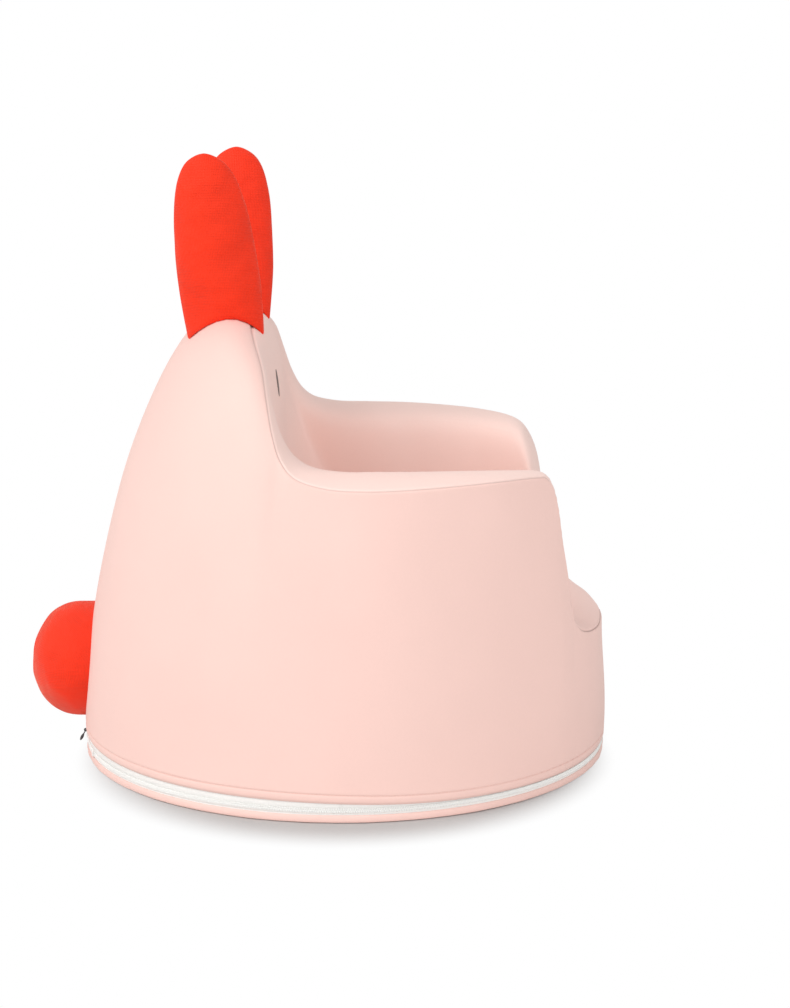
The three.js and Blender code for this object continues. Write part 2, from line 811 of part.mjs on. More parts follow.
function pull() {
  const eyeInner = bridgeBar / 2 + eyeClearance;
  const eyeOuter = eyeInner + eyeWall;
  const loop = new THREE.LatheGeometry(
    [
      [eyeInner, -eyeWidth / 2],
      [eyeOuter, -eyeWidth / 2],
      [eyeOuter, eyeWidth / 2],
      [eyeInner, eyeWidth / 2],
      [eyeInner, -eyeWidth / 2],
    ].map(([radius, height]) => new THREE.Vector2(radius, height)),
    loopSides,
  ).rotateZ(Math.PI / 2);
  const top = -(eyeInner + eyeWall / 2);
  const round = pullWidth * pullRoundShare;
  const outline = new THREE.Shape();
  outline.moveTo(-pullTopWidth / 2, top);
  outline.lineTo(-pullWidth / 2, -pullLength + round);
  outline.quadraticCurveTo(-pullWidth / 2, -pullLength, 0, -pullLength);
  outline.quadraticCurveTo(pullWidth / 2, -pullLength, pullWidth / 2, -pullLength + round);
  outline.lineTo(pullTopWidth / 2, top);
  outline.closePath();
  const blade = new THREE.ExtrudeGeometry(outline, {
    depth: pullThickness,
    bevelEnabled: false,
    curveSegments: pullRoundSteps,
  })
    .translate(0, 0, -pullThickness / 2)
    .rotateX(Math.PI / 2);
  const lean = THREE.MathUtils.degToRad(pullLean);
  return join(loop, blade).rotateX(lean).translate(0, barCentre, zipHeight);
}

function zipStop(turn) {
  const half = stopLength / 2;
  const block = box(
    -half,
    half,
    toothOuter + fitGap,
    toothOuter + fitGap + sliderPlate,
    partingLow - toothWidth,
    partingTop + toothWidth,
  );
  return block.rotateZ(THREE.MathUtils.degToRad(turn));
}

// Assembly

const pink = { color: 0xf6cfc6, roughness: 0.75, metalness: 0 };
const lightPink = { color: 0xfbdcd3, roughness: 0.75, metalness: 0 };
const red = { color: 0xf03a20, roughness: 0.9, metalness: 0 };
const white = { color: 0xf0f0ec, roughness: 0.6, metalness: 0 };
const foam = { color: 0xf4edd8, roughness: 1, metalness: 0 };
const wool = { color: 0xf7f7f5, roughness: 1, metalness: 0 };
const grey = { color: 0x46464b, roughness: 0.4, metalness: 0.6 };
const brown = { color: 0x5b443c, roughness: 0.7, metalness: 0 };

const sofa = new THREE.Group();
function add(name, geometry, look, parent = sofa) {
  const bare = geometry.index ? geometry.toNonIndexed() : geometry;
  bare.computeVertexNormals();
  const mesh = new THREE.Mesh(bare, new THREE.MeshStandardMaterial(look));
  mesh.name = name;
  parent.add(mesh);
}

add("outer_cover_panel", outerPanel(), pink);
const band = [bandColumn, innerColumn];
const bandSpace = strip(band, lastBandRow, [-fitGap, foamDepth - fitGap / 2], [-seamGap / 4, -endRoom]);
const coveredSpace = horseshoe(firstBand, lastBand, -fitGap, -endRoom, -endRoom);
const foamSpace = horseshoe(firstBand, lastBand, coverThickness - fitGap, -endRoom, -endRoom);
const sheetDepths = [0, coverThickness];

const innerPanel = strip([innerColumn, footColumn], lastInnerRow, sheetDepths, [seamGap / 2, 0]);
add("top_band", strip(band, lastBandRow, sheetDepths, [seamGap / 2, 0]), lightPink);
add("inner_cover_panel", cut(innerPanel, bandSpace), pink);
add("seat_cover_panel", cut(seatPanel(), coveredSpace, foamSpace, bandSpace), pink);

const backEdge = 8;
const backFrom = stations.indexOf(-backEdge);
const backTo = stations.indexOf(backEdge);
add("back_foam", horseshoe(backFrom, backTo, foamDepth, fitGap, fitGap), foam);
add("arm_foam_right", horseshoe(firstBand, backFrom, foamDepth, armEndGap, fitGap), foam);
add("arm_foam_left", horseshoe(backTo, lastBand, foamDepth, fitGap, armEndGap), foam);
add("seat_pad_foam", cut(seatPad(), foamSpace, bandSpace), foam);
add("base_foam", cut(baseBlock(), foamSpace), foam);

const bodyShape = horseshoe(backFrom, backTo, -fitGap, 0, 0);
for (const [name, side, height, lean] of [
  ["right", -1, earHeightRight, earLeanRight],
  ["left", 1, earHeightLeft, earLeanLeft],
]) {
  const inner = earBody(side, height, lean, stuffedCover);
  const filling = earBody(side, height, lean, stuffedCover + fitGap);
  add("ear_cover_" + name, cut(earBody(side, height, lean, 0), inner, bodyShape), red);
  add("ear_filling_" + name, cut(filling, bodyShape), wool);
  add("eye_" + name, eye(side), brown);
}
add("tail_cover", cut(tailBody(0), tailBody(stuffedCover), bodyShape), red);
add("tail_filling", cut(tailBody(stuffedCover + fitGap), bodyShape), wool);

const stripInner = tapeOuter + fitGap;
add(
  "base_cover_panel",
  new THREE.CylinderGeometry(tapeOuter, tapeOuter, baseThickness, roundSteps)
    .rotateX(Math.PI / 2)
    .translate(0, 0, baseThickness / 2),
  pink,
);
add("base_strip", ringBetween(stripInner, stripInner + stripThickness, fitGap, stripHeight), pink);
add("zip_tape_upper", ringBetween(zipInner, tapeOuter, partingTop, partingTop + tapeWidth), white);
add("zip_tape_lower", ringBetween(zipInner, tapeOuter, baseThickness + fitGap, partingLow), white);
add("zip_teeth_upper", toothRow(partingTop), white);
add("zip_teeth_lower", toothRow(partingLow - toothWidth), white);
add("zip_slider", slider(), grey);
add("zip_pull", pull(), grey);
add("zip_top_stop", zipStop(stopTurn), grey);
add("zip_end_stop", zipStop(endStopTurn), grey);

export default sofa;
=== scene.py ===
# Child's round foam sofa with stuffed ears and a tail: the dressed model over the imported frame.
# Metres, +Z up. The seat opens towards -Y, and the origin is the centre of the base on the floor.
import math

import bpy
import numpy as np
from mathutils import Matrix, Vector, noise
from mathutils.bvhtree import BVHTree
from mathutils.kdtree import KDTree

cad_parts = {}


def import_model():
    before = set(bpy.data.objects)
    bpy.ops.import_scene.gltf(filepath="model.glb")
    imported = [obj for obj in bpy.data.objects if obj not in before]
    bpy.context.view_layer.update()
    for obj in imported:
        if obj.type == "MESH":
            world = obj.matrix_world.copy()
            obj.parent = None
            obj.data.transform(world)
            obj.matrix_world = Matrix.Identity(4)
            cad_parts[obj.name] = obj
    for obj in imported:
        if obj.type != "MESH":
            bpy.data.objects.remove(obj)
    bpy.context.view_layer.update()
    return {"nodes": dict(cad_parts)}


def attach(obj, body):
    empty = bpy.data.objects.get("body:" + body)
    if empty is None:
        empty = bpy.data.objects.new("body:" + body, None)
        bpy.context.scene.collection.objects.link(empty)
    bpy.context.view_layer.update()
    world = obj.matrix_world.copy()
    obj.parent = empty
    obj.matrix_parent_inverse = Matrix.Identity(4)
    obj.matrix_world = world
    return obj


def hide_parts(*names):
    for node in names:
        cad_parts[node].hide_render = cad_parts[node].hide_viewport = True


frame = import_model()

# Body sizes, as in the frame. All sizes are in metres, and a share, row or column has no unit.
BODY_RADIUS = 0.261
WALL_BULGE = 0.002
SIDE_LEAN = 0.014
ARM_HEIGHT = 0.307
ARCH_SEAM_HEIGHT = 0.436
RIDGE_SETBACK = 0.08
RIDGE_ROLL = 0.083
RIDGE_LIFT = 0.066
FOOT_SETBACK = 0.06
WELL_HALF_WIDTH = 0.152
SEAT_LOW = 0.118
SEAT_CREST = 0.158
SEAT_BACK = -0.01
CREST_FORWARD = 0.205
FRONT_ROLL = 0.023
WALL_RISE = 0.012
SEAT_CENTRE = 0.07
SEAT_HUB = 0.172
HEM_HEIGHT = 0.0175
HEM_TILT = 0.003
HEM_TURN = 0.02
HEM_TURN_REACH = 0.08

# How far the control points of the section lines stand off their ends, as shares of a line's rise
WALL_FOOT_HANDLE = 0.407
WALL_SEAM_HANDLE = 0.33
WELL_RIM_HANDLE = 0.3
WELL_RIM_LEAN = 0.065
WELL_FOOT_HANDLE = 0.22
WELL_FOOT_LEAN = 0.1
CROWN_SHARE = 0.075
CROWN_FADE_ROWS = 3
ROW_STEP = 0.05

# Floor edge
BASE_THICKNESS = 0.0027
STRIP_OUT = 0.0004
STRIP_DEPTH = 0.0024
STRIP_SECTION = [
    (0, 0.0006), (0.0012, 0.0004), (0.002, 0.0012), (STRIP_DEPTH, 0.003), (STRIP_DEPTH, 0.005),
    (0.002, 0.0067), (0.0012, 0.0075), (0, 0.0073),
]
STRIP_SAG = 0.00035
STRIP_RIPPLE = 0.0002
BASE_SEAM = 0.004
BASE_SEAM_RISE = 0.0004
BASE_SEAM_ROLL = 0.001
TAPE_INNER = 0.2563
TAPE_THICKNESS = 0.001
TAPE_TOP = 0.026
TAPE_GAP = 0.0001
TAPE_FOOT = 0.0004
TAPE_BEVEL = 0.0002
ZIP_HEIGHT = 0.0118
TOOTH_DEPTH = 0.0018
TOOTH_COUNT = 1044
COIL_LIE = 0.00095
COIL_LENGTH = 0.0027
COIL_HALF_PITCH = 0.0007
COIL_OUT = 0.0017
TAPE_SWELL = 0.0011

# Zip pull
PULL_AXIS = 0.26325
PULL_EYE = 0.0015
PULL_WIRE = 0.00044
PULL_LENGTH = 0.0124
PULL_LEAN = 28
LEAF_WIDTH = 0.0052
LEAF_THICKNESS = 0.003
LEAF_SHARES = [
    (0, 0.2, 0.28), (0.08, 0.3, 0.34), (0.25, 0.4, 0.4), (0.42, 0.8, 0.78), (0.58, 1, 1),
    (0.74, 0.95, 0.92), (0.88, 0.66, 0.62), (0.96, 0.36, 0.34), (1, 0, 0),
]

# Ears and tail
EAR_HEIGHT = {"right": 0.597, "left": 0.592}
EAR_SEAT = 0.415
EAR_WIDTH = 0.079
EAR_THICKNESS = 0.047
EAR_SPACING = 0.118
EAR_SPLAY = 0.033
EAR_FORWARD = -0.112
EAR_LEAN = {"right": 0.017, "left": -0.004}
EAR_EDGE = 1.3
EAR_SEAM_SINK = 0.0016
EAR_SEAM_ROLL = 0.0018
EAR_HEM_ROLL = 0.003
EAR_FLOOR = 0.16
EAR_HANG = 0.0026
SEWN_REACH = 0.006
EAR_SWELL = 0.004
EAR_SPOTS = 500
EAR_TURNS = 720
EAR_CROWD = 0.36
EAR_RISE_CROWD = 1.2
EAR_SIDE_APART = 0.4
EAR_UNDER = 0.06
EAR_CLEAR = 0.0004
EAR_CALM_FOOT = 0.03
EAR_CALM_TIP = 0.012
TAIL_RADIUS = 0.0585
TAIL_HEIGHT = 0.086
TAIL_ROOT = 0.238
TAIL_REACH = 0.315
TAIL_SHOULDER = 0.265
TAIL_CROWN = 2.1
TAIL_SWELL = 0.0025
TAIL_LIFT = 0.05
TAIL_FLOOR = 0.1
TAIL_SIDE = 0.3
TAIL_NECK = 0.8
TAIL_UV_REACH = 1.7

# Size and height of the stuffed pieces' unevenness
EAR_DENTS = (0.042, 0.0026)
EAR_WRINKLES = (0.017, 0.0009)
TAIL_DENTS = (0.034, 0.0022)
TAIL_WRINKLES = (0.015, 0.0008)

# Eyes
EYE_HEIGHT = 0.027
EYE_BREADTH = 0.011
EYE_ROW = 1.12
EYE_DROP = 0.125
EYE_STEP = 0.02
EYE_SUNK = 0.0003
EYE_PROUD = 0.0002
EYE_DOME = 0.0003

# Cloth
CLOTH = 0.0012
SEAM_SINK = 0.0016
SEAM_ROLL = 0.0017
SEAM_LINE = 0.0008
SEAM_SHADE = 0.76
PUCKER = 0.0003
PUCKER_PITCH = 0.0105
PUCKER_FINE_PITCH = 0.0067
PUCKER_START = 0.002
PUCKER_REACH = 0.009
DRIFT_SIZE = 0.09
DRIFT_REACH = 0.014
HEM_STITCH_RISE = 0.0085
GROOVE = 0.0009
GROOVE_DEPTH = 0.0007
GROOVE_SHADE = 0.25
STITCH_PITCH = 0.0036
STITCH_SHARE = 0.72
STITCH_RADIUS = 0.00028
STITCH_DIP = 0.0003
STITCH_SUNK = 0.6
HUB_GATHER = 0.0025
KNIT_PITCH = 0.0009
RED_PITCH = 0.0016
TAPE_PITCH = 0.0007
DOT_PITCH = 0.008
SEAM_COLUMNS = [0, 0.0004, 0.0008, 0.0013, 0.0019, 0.0026, 0.0036, 0.005, 0.007]
HEM_COLUMNS = [0, 0.003, 0.006, 0.007, 0.0077, 0.0081, 0.0085, 0.0089, 0.0093, 0.01, 0.011, 0.013]
WALL_COLUMNS = 44
BAND_COLUMNS = 24
LINING_COLUMNS = 40
SEAT_RINGS = 22
ROW_PITCH = 0.0045

# Swelling of the stuffed pieces
VOXEL = 0.0045
PRESSURE = 4
FRAMES = 20
NEIGHBOURS = 6

ARCH_SHARES = [
    (0, 1.08, 1), (0.243, 1.095, 0.977), (0.466, 1.03, 0.9), (0.648, 0.92, 0.757),
    (0.789, 0.852, 0.56), (0.879, 0.785, 0.353), (0.923, 0.7, 0.195), (0.957, 0.55, 0.083),
    (0.985, 0.21, 0.017), (0.998, -0.25, 0),
]
ARM_SHARES = [
    (0.583, 1), (0.69, 1), (0.76, 0.993), (0.781, 0.988), (0.792, 0.952), (0.7985, 0.885),
    (0.804, 0.79), (0.814, 0.66), (0.824, 0.53),
]
FRONT_SHARES = [(0.842, 0.482), (0.87, 0.458), (0.917, 0.447), (1, 0.443)]
INNER_SHARES = [
    (0, -0.253, 0.943), (0.355, -0.261, 0.947), (0.67, -0.268, 0.95), (0.905, -0.262, 0.952),
    (1.05, -0.244, 0.957), (1.11, -0.209, 0.962), (1.1, -0.155, 0.967), (1.066, -0.081, 0.978),
    (1.033, 0.024, 0.99), (1.007, 0.148, 0.996), (1, 0.299, 0.997), (0.905, 0.525, 0.989),
    (0.745, 0.675, 0.982), (0.7, 0.711, 0.995), (0.68, 0.728, 0.987), (0.669, 0.739, 0.985),
    (0.66, 0.748, 0.988), (0.65, 0.759, 1.005), (0.644, 0.766, 1.05),
]
FOOT_SHARES = [
    (0, -0.161), (0.296, -0.153), (0.559, -0.126), (0.757, -0.069), (0.868, 0), (0.934, 0.069),
    (0.967, 0.123), (0.98, 0.169), (0.987, 0.215), (0.987, 0.268), (0.974, 0.375),
    (0.895, 0.56), (0.75, 0.69), (0.71, 0.719), (0.69, 0.732), (0.678, 0.741), (0.668, 0.75),
    (0.658, 0.7605), (0.651, 0.768),
]
EAR_SHARES = [
    (0, 0.92, 0.74), (0.12, 0.96, 0.87), (0.3, 1, 1), (0.42, 0.99, 1), (0.55, 0.95, 0.97),
    (0.67, 0.9, 0.91), (0.78, 0.81, 0.8), (0.87, 0.69, 0.65), (0.94, 0.51, 0.47),
    (0.985, 0.25, 0.22),
]
LAST_BAND_ROW = len(INNER_SHARES) - 1
LAST_ROW = len(ARCH_SHARES) + len(ARM_SHARES) + len(FRONT_SHARES) - 1


# --- Seam lines and cross-sections of the cover ---


def wall_radius(height):
    return BODY_RADIUS - SIDE_LEAN * (height / ARM_HEIGHT) ** 2


def place(across, forward, height):
    return (across, -forward, height)


def on_wall(turn_share, height_share):
    height = height_share * ARM_HEIGHT
    turn = turn_share * math.pi
    radius = wall_radius(height)
    return place(radius * math.sin(turn), -radius * math.cos(turn), height)


def seat_height(across, forward):
    """The seat rises to a crest and rolls off all round towards the front wall."""
    share = np.clip((forward - SEAT_BACK) / (CREST_FORWARD - SEAT_BACK), 0, 1)
    rise = share * share * (3 - 2 * share)
    beyond = np.hypot(across, np.maximum(0, forward)) - CREST_FORWARD
    roll = np.maximum(0, beyond) / (wall_radius(0) - CREST_FORWARD)
    return SEAT_LOW + (SEAT_CREST - SEAT_LOW) * rise - FRONT_ROLL * roll**2


def through(points):
    """A smooth curve through points, read at shares that count the points from 0."""
    points = np.array(points, float)
    last = len(points) - 1
    points = np.vstack([2 * points[0] - points[1], points, 2 * points[-1] - points[-2]])
    steps = np.maximum(np.sum(np.diff(points, axis=0) ** 2, axis=1) ** 0.25, 1e-5)

    def at(share):
        share = np.clip(np.asarray(share, float), 0, last)
        k = np.minimum(np.floor(share).astype(int), last - 1)
        t = (share - k)[..., None]
        p0, p1, p2, p3 = (points[k + n] for n in range(4))
        d0, d1, d2 = (steps[k + n][..., None] for n in range(3))
        start = d1 * ((p1 - p0) / d0 - (p2 - p0) / (d0 + d1) + (p2 - p1) / d1)
        end = d1 * ((p2 - p1) / d1 - (p3 - p1) / (d1 + d2) + (p3 - p2) / d2)
        square = -3 * p1 + 3 * p2 - 2 * start - end
        cube = 2 * p1 - 2 * p2 + start + end
        return p1 + start * t + square * t**2 + cube * t**3

    return at


def seam_curve(half):
    """A curve through mirrored points, read at rows that count from the middle of the back."""
    half = np.array(half, float)
    curve = through(np.vstack([(half[1:] * (-1, 1, 1))[::-1], half]))
    return lambda row: curve(np.asarray(row, float) + len(half) - 1)


RIM_ROWS = [
    place(
        across * wall_radius(ARM_HEIGHT),
        -back * RIDGE_SETBACK,
        ARM_HEIGHT + rise * (ARCH_SEAM_HEIGHT - ARM_HEIGHT),
    )
    for across, back, rise in ARCH_SHARES
] + [on_wall(*shares) for shares in ARM_SHARES + FRONT_SHARES]
outer_rim = seam_curve(RIM_ROWS)
inner_rim = seam_curve(
    [
        place(across * WELL_HALF_WIDTH, forward * BODY_RADIUS, height * RIM_ROWS[row][2])
        for row, (across, forward, height) in enumerate(INNER_SHARES)
    ]
)
well_foot = seam_curve(
    [
        place(
            across * WELL_HALF_WIDTH,
            forward * BODY_RADIUS,
            float(seat_height(across * WELL_HALF_WIDTH, forward * BODY_RADIUS)) + WALL_RISE,
        )
        for across, forward in FOOT_SHARES
    ]
)


def unit(vectors):
    return vectors / np.linalg.norm(vectors, axis=-1, keepdims=True)


def away_from_axis(x, y):
    turn = np.arctan2(x, y)
    return np.stack([np.sin(turn), np.cos(turn), np.zeros_like(turn)], -1)


UP = np.array([0.0, 0.0, 1.0])
BAND_FACING = np.array([0.0, -1.0, 1.0])


def bezier(points, shares):
    """Points at shares along the Bezier lines whose control points are rows of equal shape."""
    order = len(points) - 1
    shares = np.asarray(shares)[None, :, None]
    total = 0
    for k, point in enumerate(points):
        weight = math.comb(order, k) * shares**k * (1 - shares) ** (order - k)
        total = total + weight * point[:, None, :]
    return total


def wall_lines(rows, shares):
    """The outer panel, from its hem up to its seam."""
    seam = outer_rim(rows)
    lift = (np.maximum(0, seam[:, 2] - ARM_HEIGHT) / (ARCH_SEAM_HEIGHT - ARM_HEIGHT))[:, None]
    out = away_from_axis(seam[:, 0], seam[:, 1] + lift[:, 0] * FOOT_SETBACK)
    behind = out[:, 1:2] * BODY_RADIUS + HEM_TURN
    hem = HEM_HEIGHT + HEM_TILT * np.tanh(behind / HEM_TURN_REACH)
    foot = out * BODY_RADIUS + UP * hem
    rise = seam[:, 2:] - hem
    lower = foot + out * WALL_BULGE + UP * (WALL_FOOT_HANDLE * rise)
    handle = WALL_SEAM_HANDLE * rise
    slope = 2 * SIDE_LEAN * seam[:, 2:] / ARM_HEIGHT**2
    upper = seam + out * (lift * RIDGE_ROLL + (1 - lift) * slope * handle)
    upper = upper + UP * (lift * RIDGE_LIFT - (1 - lift) * handle)
    return bezier([foot, lower, upper, seam], shares)


def band_lines(rows, shares):
    """The top band, from the outer panel's seam over to the lining."""
    seam = outer_rim(rows)
    inner = inner_rim(rows)
    along = outer_rim(rows + ROW_STEP) - outer_rim(rows - ROW_STEP)
    chord = inner - seam
    crown = unit(np.cross(along, chord))
    side = np.sign(np.sum(crown * BAND_FACING, axis=1, keepdims=True))
    fade = np.minimum(1, (LAST_BAND_ROW - np.abs(rows)) / CROWN_FADE_ROWS)[:, None]
    height = side * 2 * fade * CROWN_SHARE * np.linalg.norm(chord, axis=1, keepdims=True)
    middle = (seam + inner) / 2 + crown * height
    return bezier([seam, middle, inner], shares)


def inner_lines(rows, shares):
    """The lining of the well, from the band down to the seat."""
    inner = inner_rim(rows)
    foot = well_foot(rows)
    height = inner[:, 2:] - foot[:, 2:]
    inward = unit(np.array([0, -SEAT_CENTRE, 0]) - foot * (1, 1, 0))
    upper = inner + (inward * WELL_RIM_LEAN - UP * WELL_RIM_HANDLE) * height
    lower = foot + (UP * WELL_FOOT_HANDLE - inward * WELL_FOOT_LEAN) * height
    return bezier([inner, upper, lower, foot], shares)


# --- Mesh work ---


def clear_selection():
    bpy.ops.object.select_all(action="DESELECT")


def select(piece):
    clear_selection()
    bpy.context.view_layer.objects.active = piece
    piece.select_set(True)


def start_piece(name):
    piece = bpy.context.object
    piece.name = piece.data.name = name
    return piece


def put(name, data):
    """A new object at the origin, in the scene."""
    made = bpy.data.objects.new(name, data)
    bpy.context.scene.collection.objects.link(made)
    return made


def edit(piece, chosen=None):
    """Edit mode with every point selected, or only the chosen ones."""
    select(piece)
    bpy.ops.object.mode_set(mode="EDIT")
    bpy.ops.mesh.select_mode(type="VERT")
    bpy.ops.mesh.select_all(action="SELECT" if chosen is None else "DESELECT")
    if chosen is not None:
        bpy.ops.object.mode_set(mode="OBJECT")
        piece.data.vertices.foreach_set("select", chosen)
        bpy.ops.object.mode_set(mode="EDIT")


def leave_edit():
    bpy.ops.object.mode_set(mode="OBJECT")


def apply_modifier(piece, kind, name, **settings):
    modifier = piece.modifiers.new(name, kind)
    for key, value in settings.items():
        setattr(modifier, key, value)
    apply_modifier_as_is(piece, name)


def apply_modifier_as_is(piece, name):
    select(piece)
    bpy.ops.object.modifier_apply(modifier=name)


def smooth(piece, angle=50):
    select(piece)
    bpy.ops.object.shade_smooth_by_angle(angle=math.radians(angle))


def points_of(piece):
    flat = np.zeros(len(piece.data.vertices) * 3, np.float32)
    piece.data.vertices.foreach_get("co", flat)
    return flat.reshape(-1, 3).astype(float)


def set_points(piece, points):
    piece.data.vertices.foreach_set("co", np.ascontiguousarray(points, np.float32).reshape(-1))
    piece.data.update()


def lay_grid(name, points, lengths, painted_crease_shade):
    """A grid shaped to rows of points, with a UV map in metres and its painted crease shade as an
    attribute.
    """
    rows, columns = points.shape[:2]
    clear_selection()
    bpy.ops.mesh.primitive_grid_add(x_subdivisions=columns - 1, y_subdivisions=rows - 1, size=1)
    piece = start_piece(name)
    flat = points_of(piece)
    column = np.rint((flat[:, 0] + 0.5) * (columns - 1)).astype(int)
    row = np.rint((flat[:, 1] + 0.5) * (rows - 1)).astype(int)
    set_points(piece, points[row, column])
    write_uv(piece, lengths[row, column])
    made = piece.data.attributes.new("painted_crease_shade", "FLOAT", "POINT")
    made.data.foreach_set("value", np.ascontiguousarray(painted_crease_shade[row, column], np.float32))
    return piece


def write_uv(piece, per_point):
    loops = np.zeros(len(piece.data.loops), np.int32)
    piece.data.loops.foreach_get("vertex_index", loops)
    uv = piece.data.uv_layers.active or piece.data.uv_layers.new(name="cloth")
    uv.data.foreach_set("uv", np.ascontiguousarray(per_point[loops], np.float32).reshape(-1))


def travelled(points):
    """How far each point lies along its line, for one line or for a stack of them."""
    steps = np.linalg.norm(np.diff(points, axis=-2), axis=-1)
    return np.concatenate([np.zeros((*steps.shape[:-1], 1)), np.cumsum(steps, axis=-1)], axis=-1)


def read_at(wanted, lengths, line):
    """Points of a line at the wanted lengths along it."""
    return np.stack([np.interp(wanted, lengths, line[:, k]) for k in range(3)], -1)


def bell(distance, reach):
    """Falls smoothly with distance, from 1 to almost nothing at twice the reach."""
    return np.exp(-((distance / reach) ** 2))


def cloth_lengths(points):
    """How far each grid point lies along its row and column, in metres of cloth."""
    across = travelled(points)
    along = travelled(points[:, points.shape[1] // 2])
    return np.stack([np.broadcast_to(along[:, None], across.shape), across], -1)


def grid_normals(points, ringed=False):
    if ringed:
        along = np.roll(points, -1, axis=0) - np.roll(points, 1, axis=0)
        along[0] = along[-1] = points[1] - points[-2]
    else:
        along = np.gradient(points, axis=0)
    across = np.gradient(points, axis=1)
    return unit(np.cross(across, along))


def spaced(lines, first, count, last):
    """Columns at set distances from a panel's two edges, with even ones between them."""
    columns = []
    for line in lines:
        lengths = travelled(line)
        fit = min(1, lengths[-1] / (1.5 * (first[-1] + last[-1])))
        start, end = fit * np.array(first), lengths[-1] - fit * np.array(last[::-1])
        wanted = np.concatenate([start, np.linspace(start[-1], end[0], count + 2)[1:-1], end])
        columns.append(read_at(wanted, lengths, line))
    return np.array(columns)


def firmness(points):
    """Falls to nothing where many rows of a panel meet, so that nothing crumples there."""
    firm = np.ones(points.shape[:-1])
    for spot, reach in firm_spots:
        firm = firm * (1 - np.exp(-((np.linalg.norm(points - spot, axis=-1) / reach) ** 4)))
    return firm


def rolled(points, normals, seams, grooves, uneven):
    """Lays a panel's unevenness on it and sinks its sewn edges, with small puckers beside them.

    seams gives, for an edge column, the neighbour's normals along it, and the edge sinks halfway
    between the two faces. grooves are stitched lines at a distance from the first column.
    """
    across = travelled(points)
    along = travelled(points[:, 0])
    wave = np.sin(along / PUCKER_PITCH * 2 * math.pi)
    wave = wave + 0.6 * np.sin(along / PUCKER_FINE_PITCH * 2 * math.pi + 1)
    wave = wave * (0.6 + 0.5 * np.sin(along / 0.071) * np.sin(along / 0.19 + 1))
    distances = {column: np.abs(across - across[:, column][:, None]) for column in seams}
    firm = firmness(points)
    calm = firm * (1 - sum(bell(distance, DRIFT_REACH) for distance in distances.values()))
    moved = points + normals * (uneven * calm)[..., None]
    # A mask of painted shade: the colour darkens along the sewn edges and the stitched grooves.
    painted_crease_shade = np.zeros(points.shape[:2])
    for column, neighbour in seams.items():
        distance = distances[column]
        inward = -unit(normals[:, column] + neighbour)[:, None]
        moved = moved + inward * (SEAM_SINK * firm * bell(distance, SEAM_ROLL))[..., None]
        fade = firm * np.exp(-distance / PUCKER_REACH) * (1 - np.exp(-distance / PUCKER_START))
        moved = moved - normals * (PUCKER * wave[:, None] * fade)[..., None]
        painted_crease_shade = np.maximum(painted_crease_shade, bell(distance, SEAM_LINE))
    for distance_in in grooves:
        line = bell(across - distance_in, GROOVE)
        moved = moved - normals * (GROOVE_DEPTH * line)[..., None]
        painted_crease_shade = np.maximum(painted_crease_shade, GROOVE_SHADE * line)
    return moved, painted_crease_shade


def drift(points, size, height, seed):
    """Slow unevenness of cloth over foam, the same on each run."""
    flat = points.reshape(-1, 3)
    shift = Vector((seed * 3.1, seed * 1.7, seed * 2.3))
    values = [noise.noise(Vector(p) / size + shift) for p in flat]
    return height * np.array(values).reshape(points.shape[:2])


def gather(piece, spot, reach):
    """Draws the points within reach of a spot together into one."""
    near = np.linalg.norm(points_of(piece) - spot, axis=1) < reach
    edit(piece, near)
    bpy.ops.mesh.merge(type="CENTER")
    leave_edit()


def panel(name, points, normals, seams, grooves=(), ringed=False, hub=None, seed=1, uneven=0.0007):
    """One cloth panel of the cover, from rows of points that close to a ring, a disc or neither."""
    drifting = drift(points, DRIFT_SIZE, uneven, seed)
    shaped, painted_crease_shade = rolled(points, normals, seams, grooves, drifting)
    lengths = cloth_lengths(points) if hub is None else points[..., :2]
    piece = lay_grid(name, shaped, lengths, painted_crease_shade)
    if ringed:
        edit(piece)
        bpy.ops.mesh.remove_doubles(threshold=1e-5)
        leave_edit()
    if hub is not None:
        gather(piece, hub, HUB_GATHER)
    face_out(piece, normals, points)
    apply_modifier(piece, "SOLIDIFY", "cloth", thickness=CLOTH, offset=-1)
    smooth(piece)
    return piece


def face_out(piece, normals, points):
    """Turns the faces to the side that the panel's normals are on."""
    polygon = piece.data.polygons[len(piece.data.polygons) // 2]
    centre = np.array(polygon.center)
    nearest = np.argmin(np.sum((points.reshape(-1, 3) - centre) ** 2, axis=1))
    if np.dot(np.array(polygon.normal), normals.reshape(-1, 3)[nearest]) < 0:
        edit(piece)
        bpy.ops.mesh.flip_normals()
        leave_edit()


def repeated(name, piece, matrices):
    """One mesh of many copies of a small piece, which is then removed."""
    points = np.hstack([points_of(piece), np.ones((len(piece.data.vertices), 1))])
    faces = [tuple(p.vertices) for p in piece.data.polygons]
    count = len(points)
    all_points = np.vstack([points @ np.array(m).T for m in matrices])[:, :3]
    all_faces = [
        tuple(v + k * count for v in face) for k in range(len(matrices)) for face in faces
    ]
    mesh = bpy.data.meshes.new(name)
    mesh.from_pydata(all_points.tolist(), [], all_faces)
    bpy.data.objects.remove(piece)
    return put(name, mesh)


# --- Materials ---


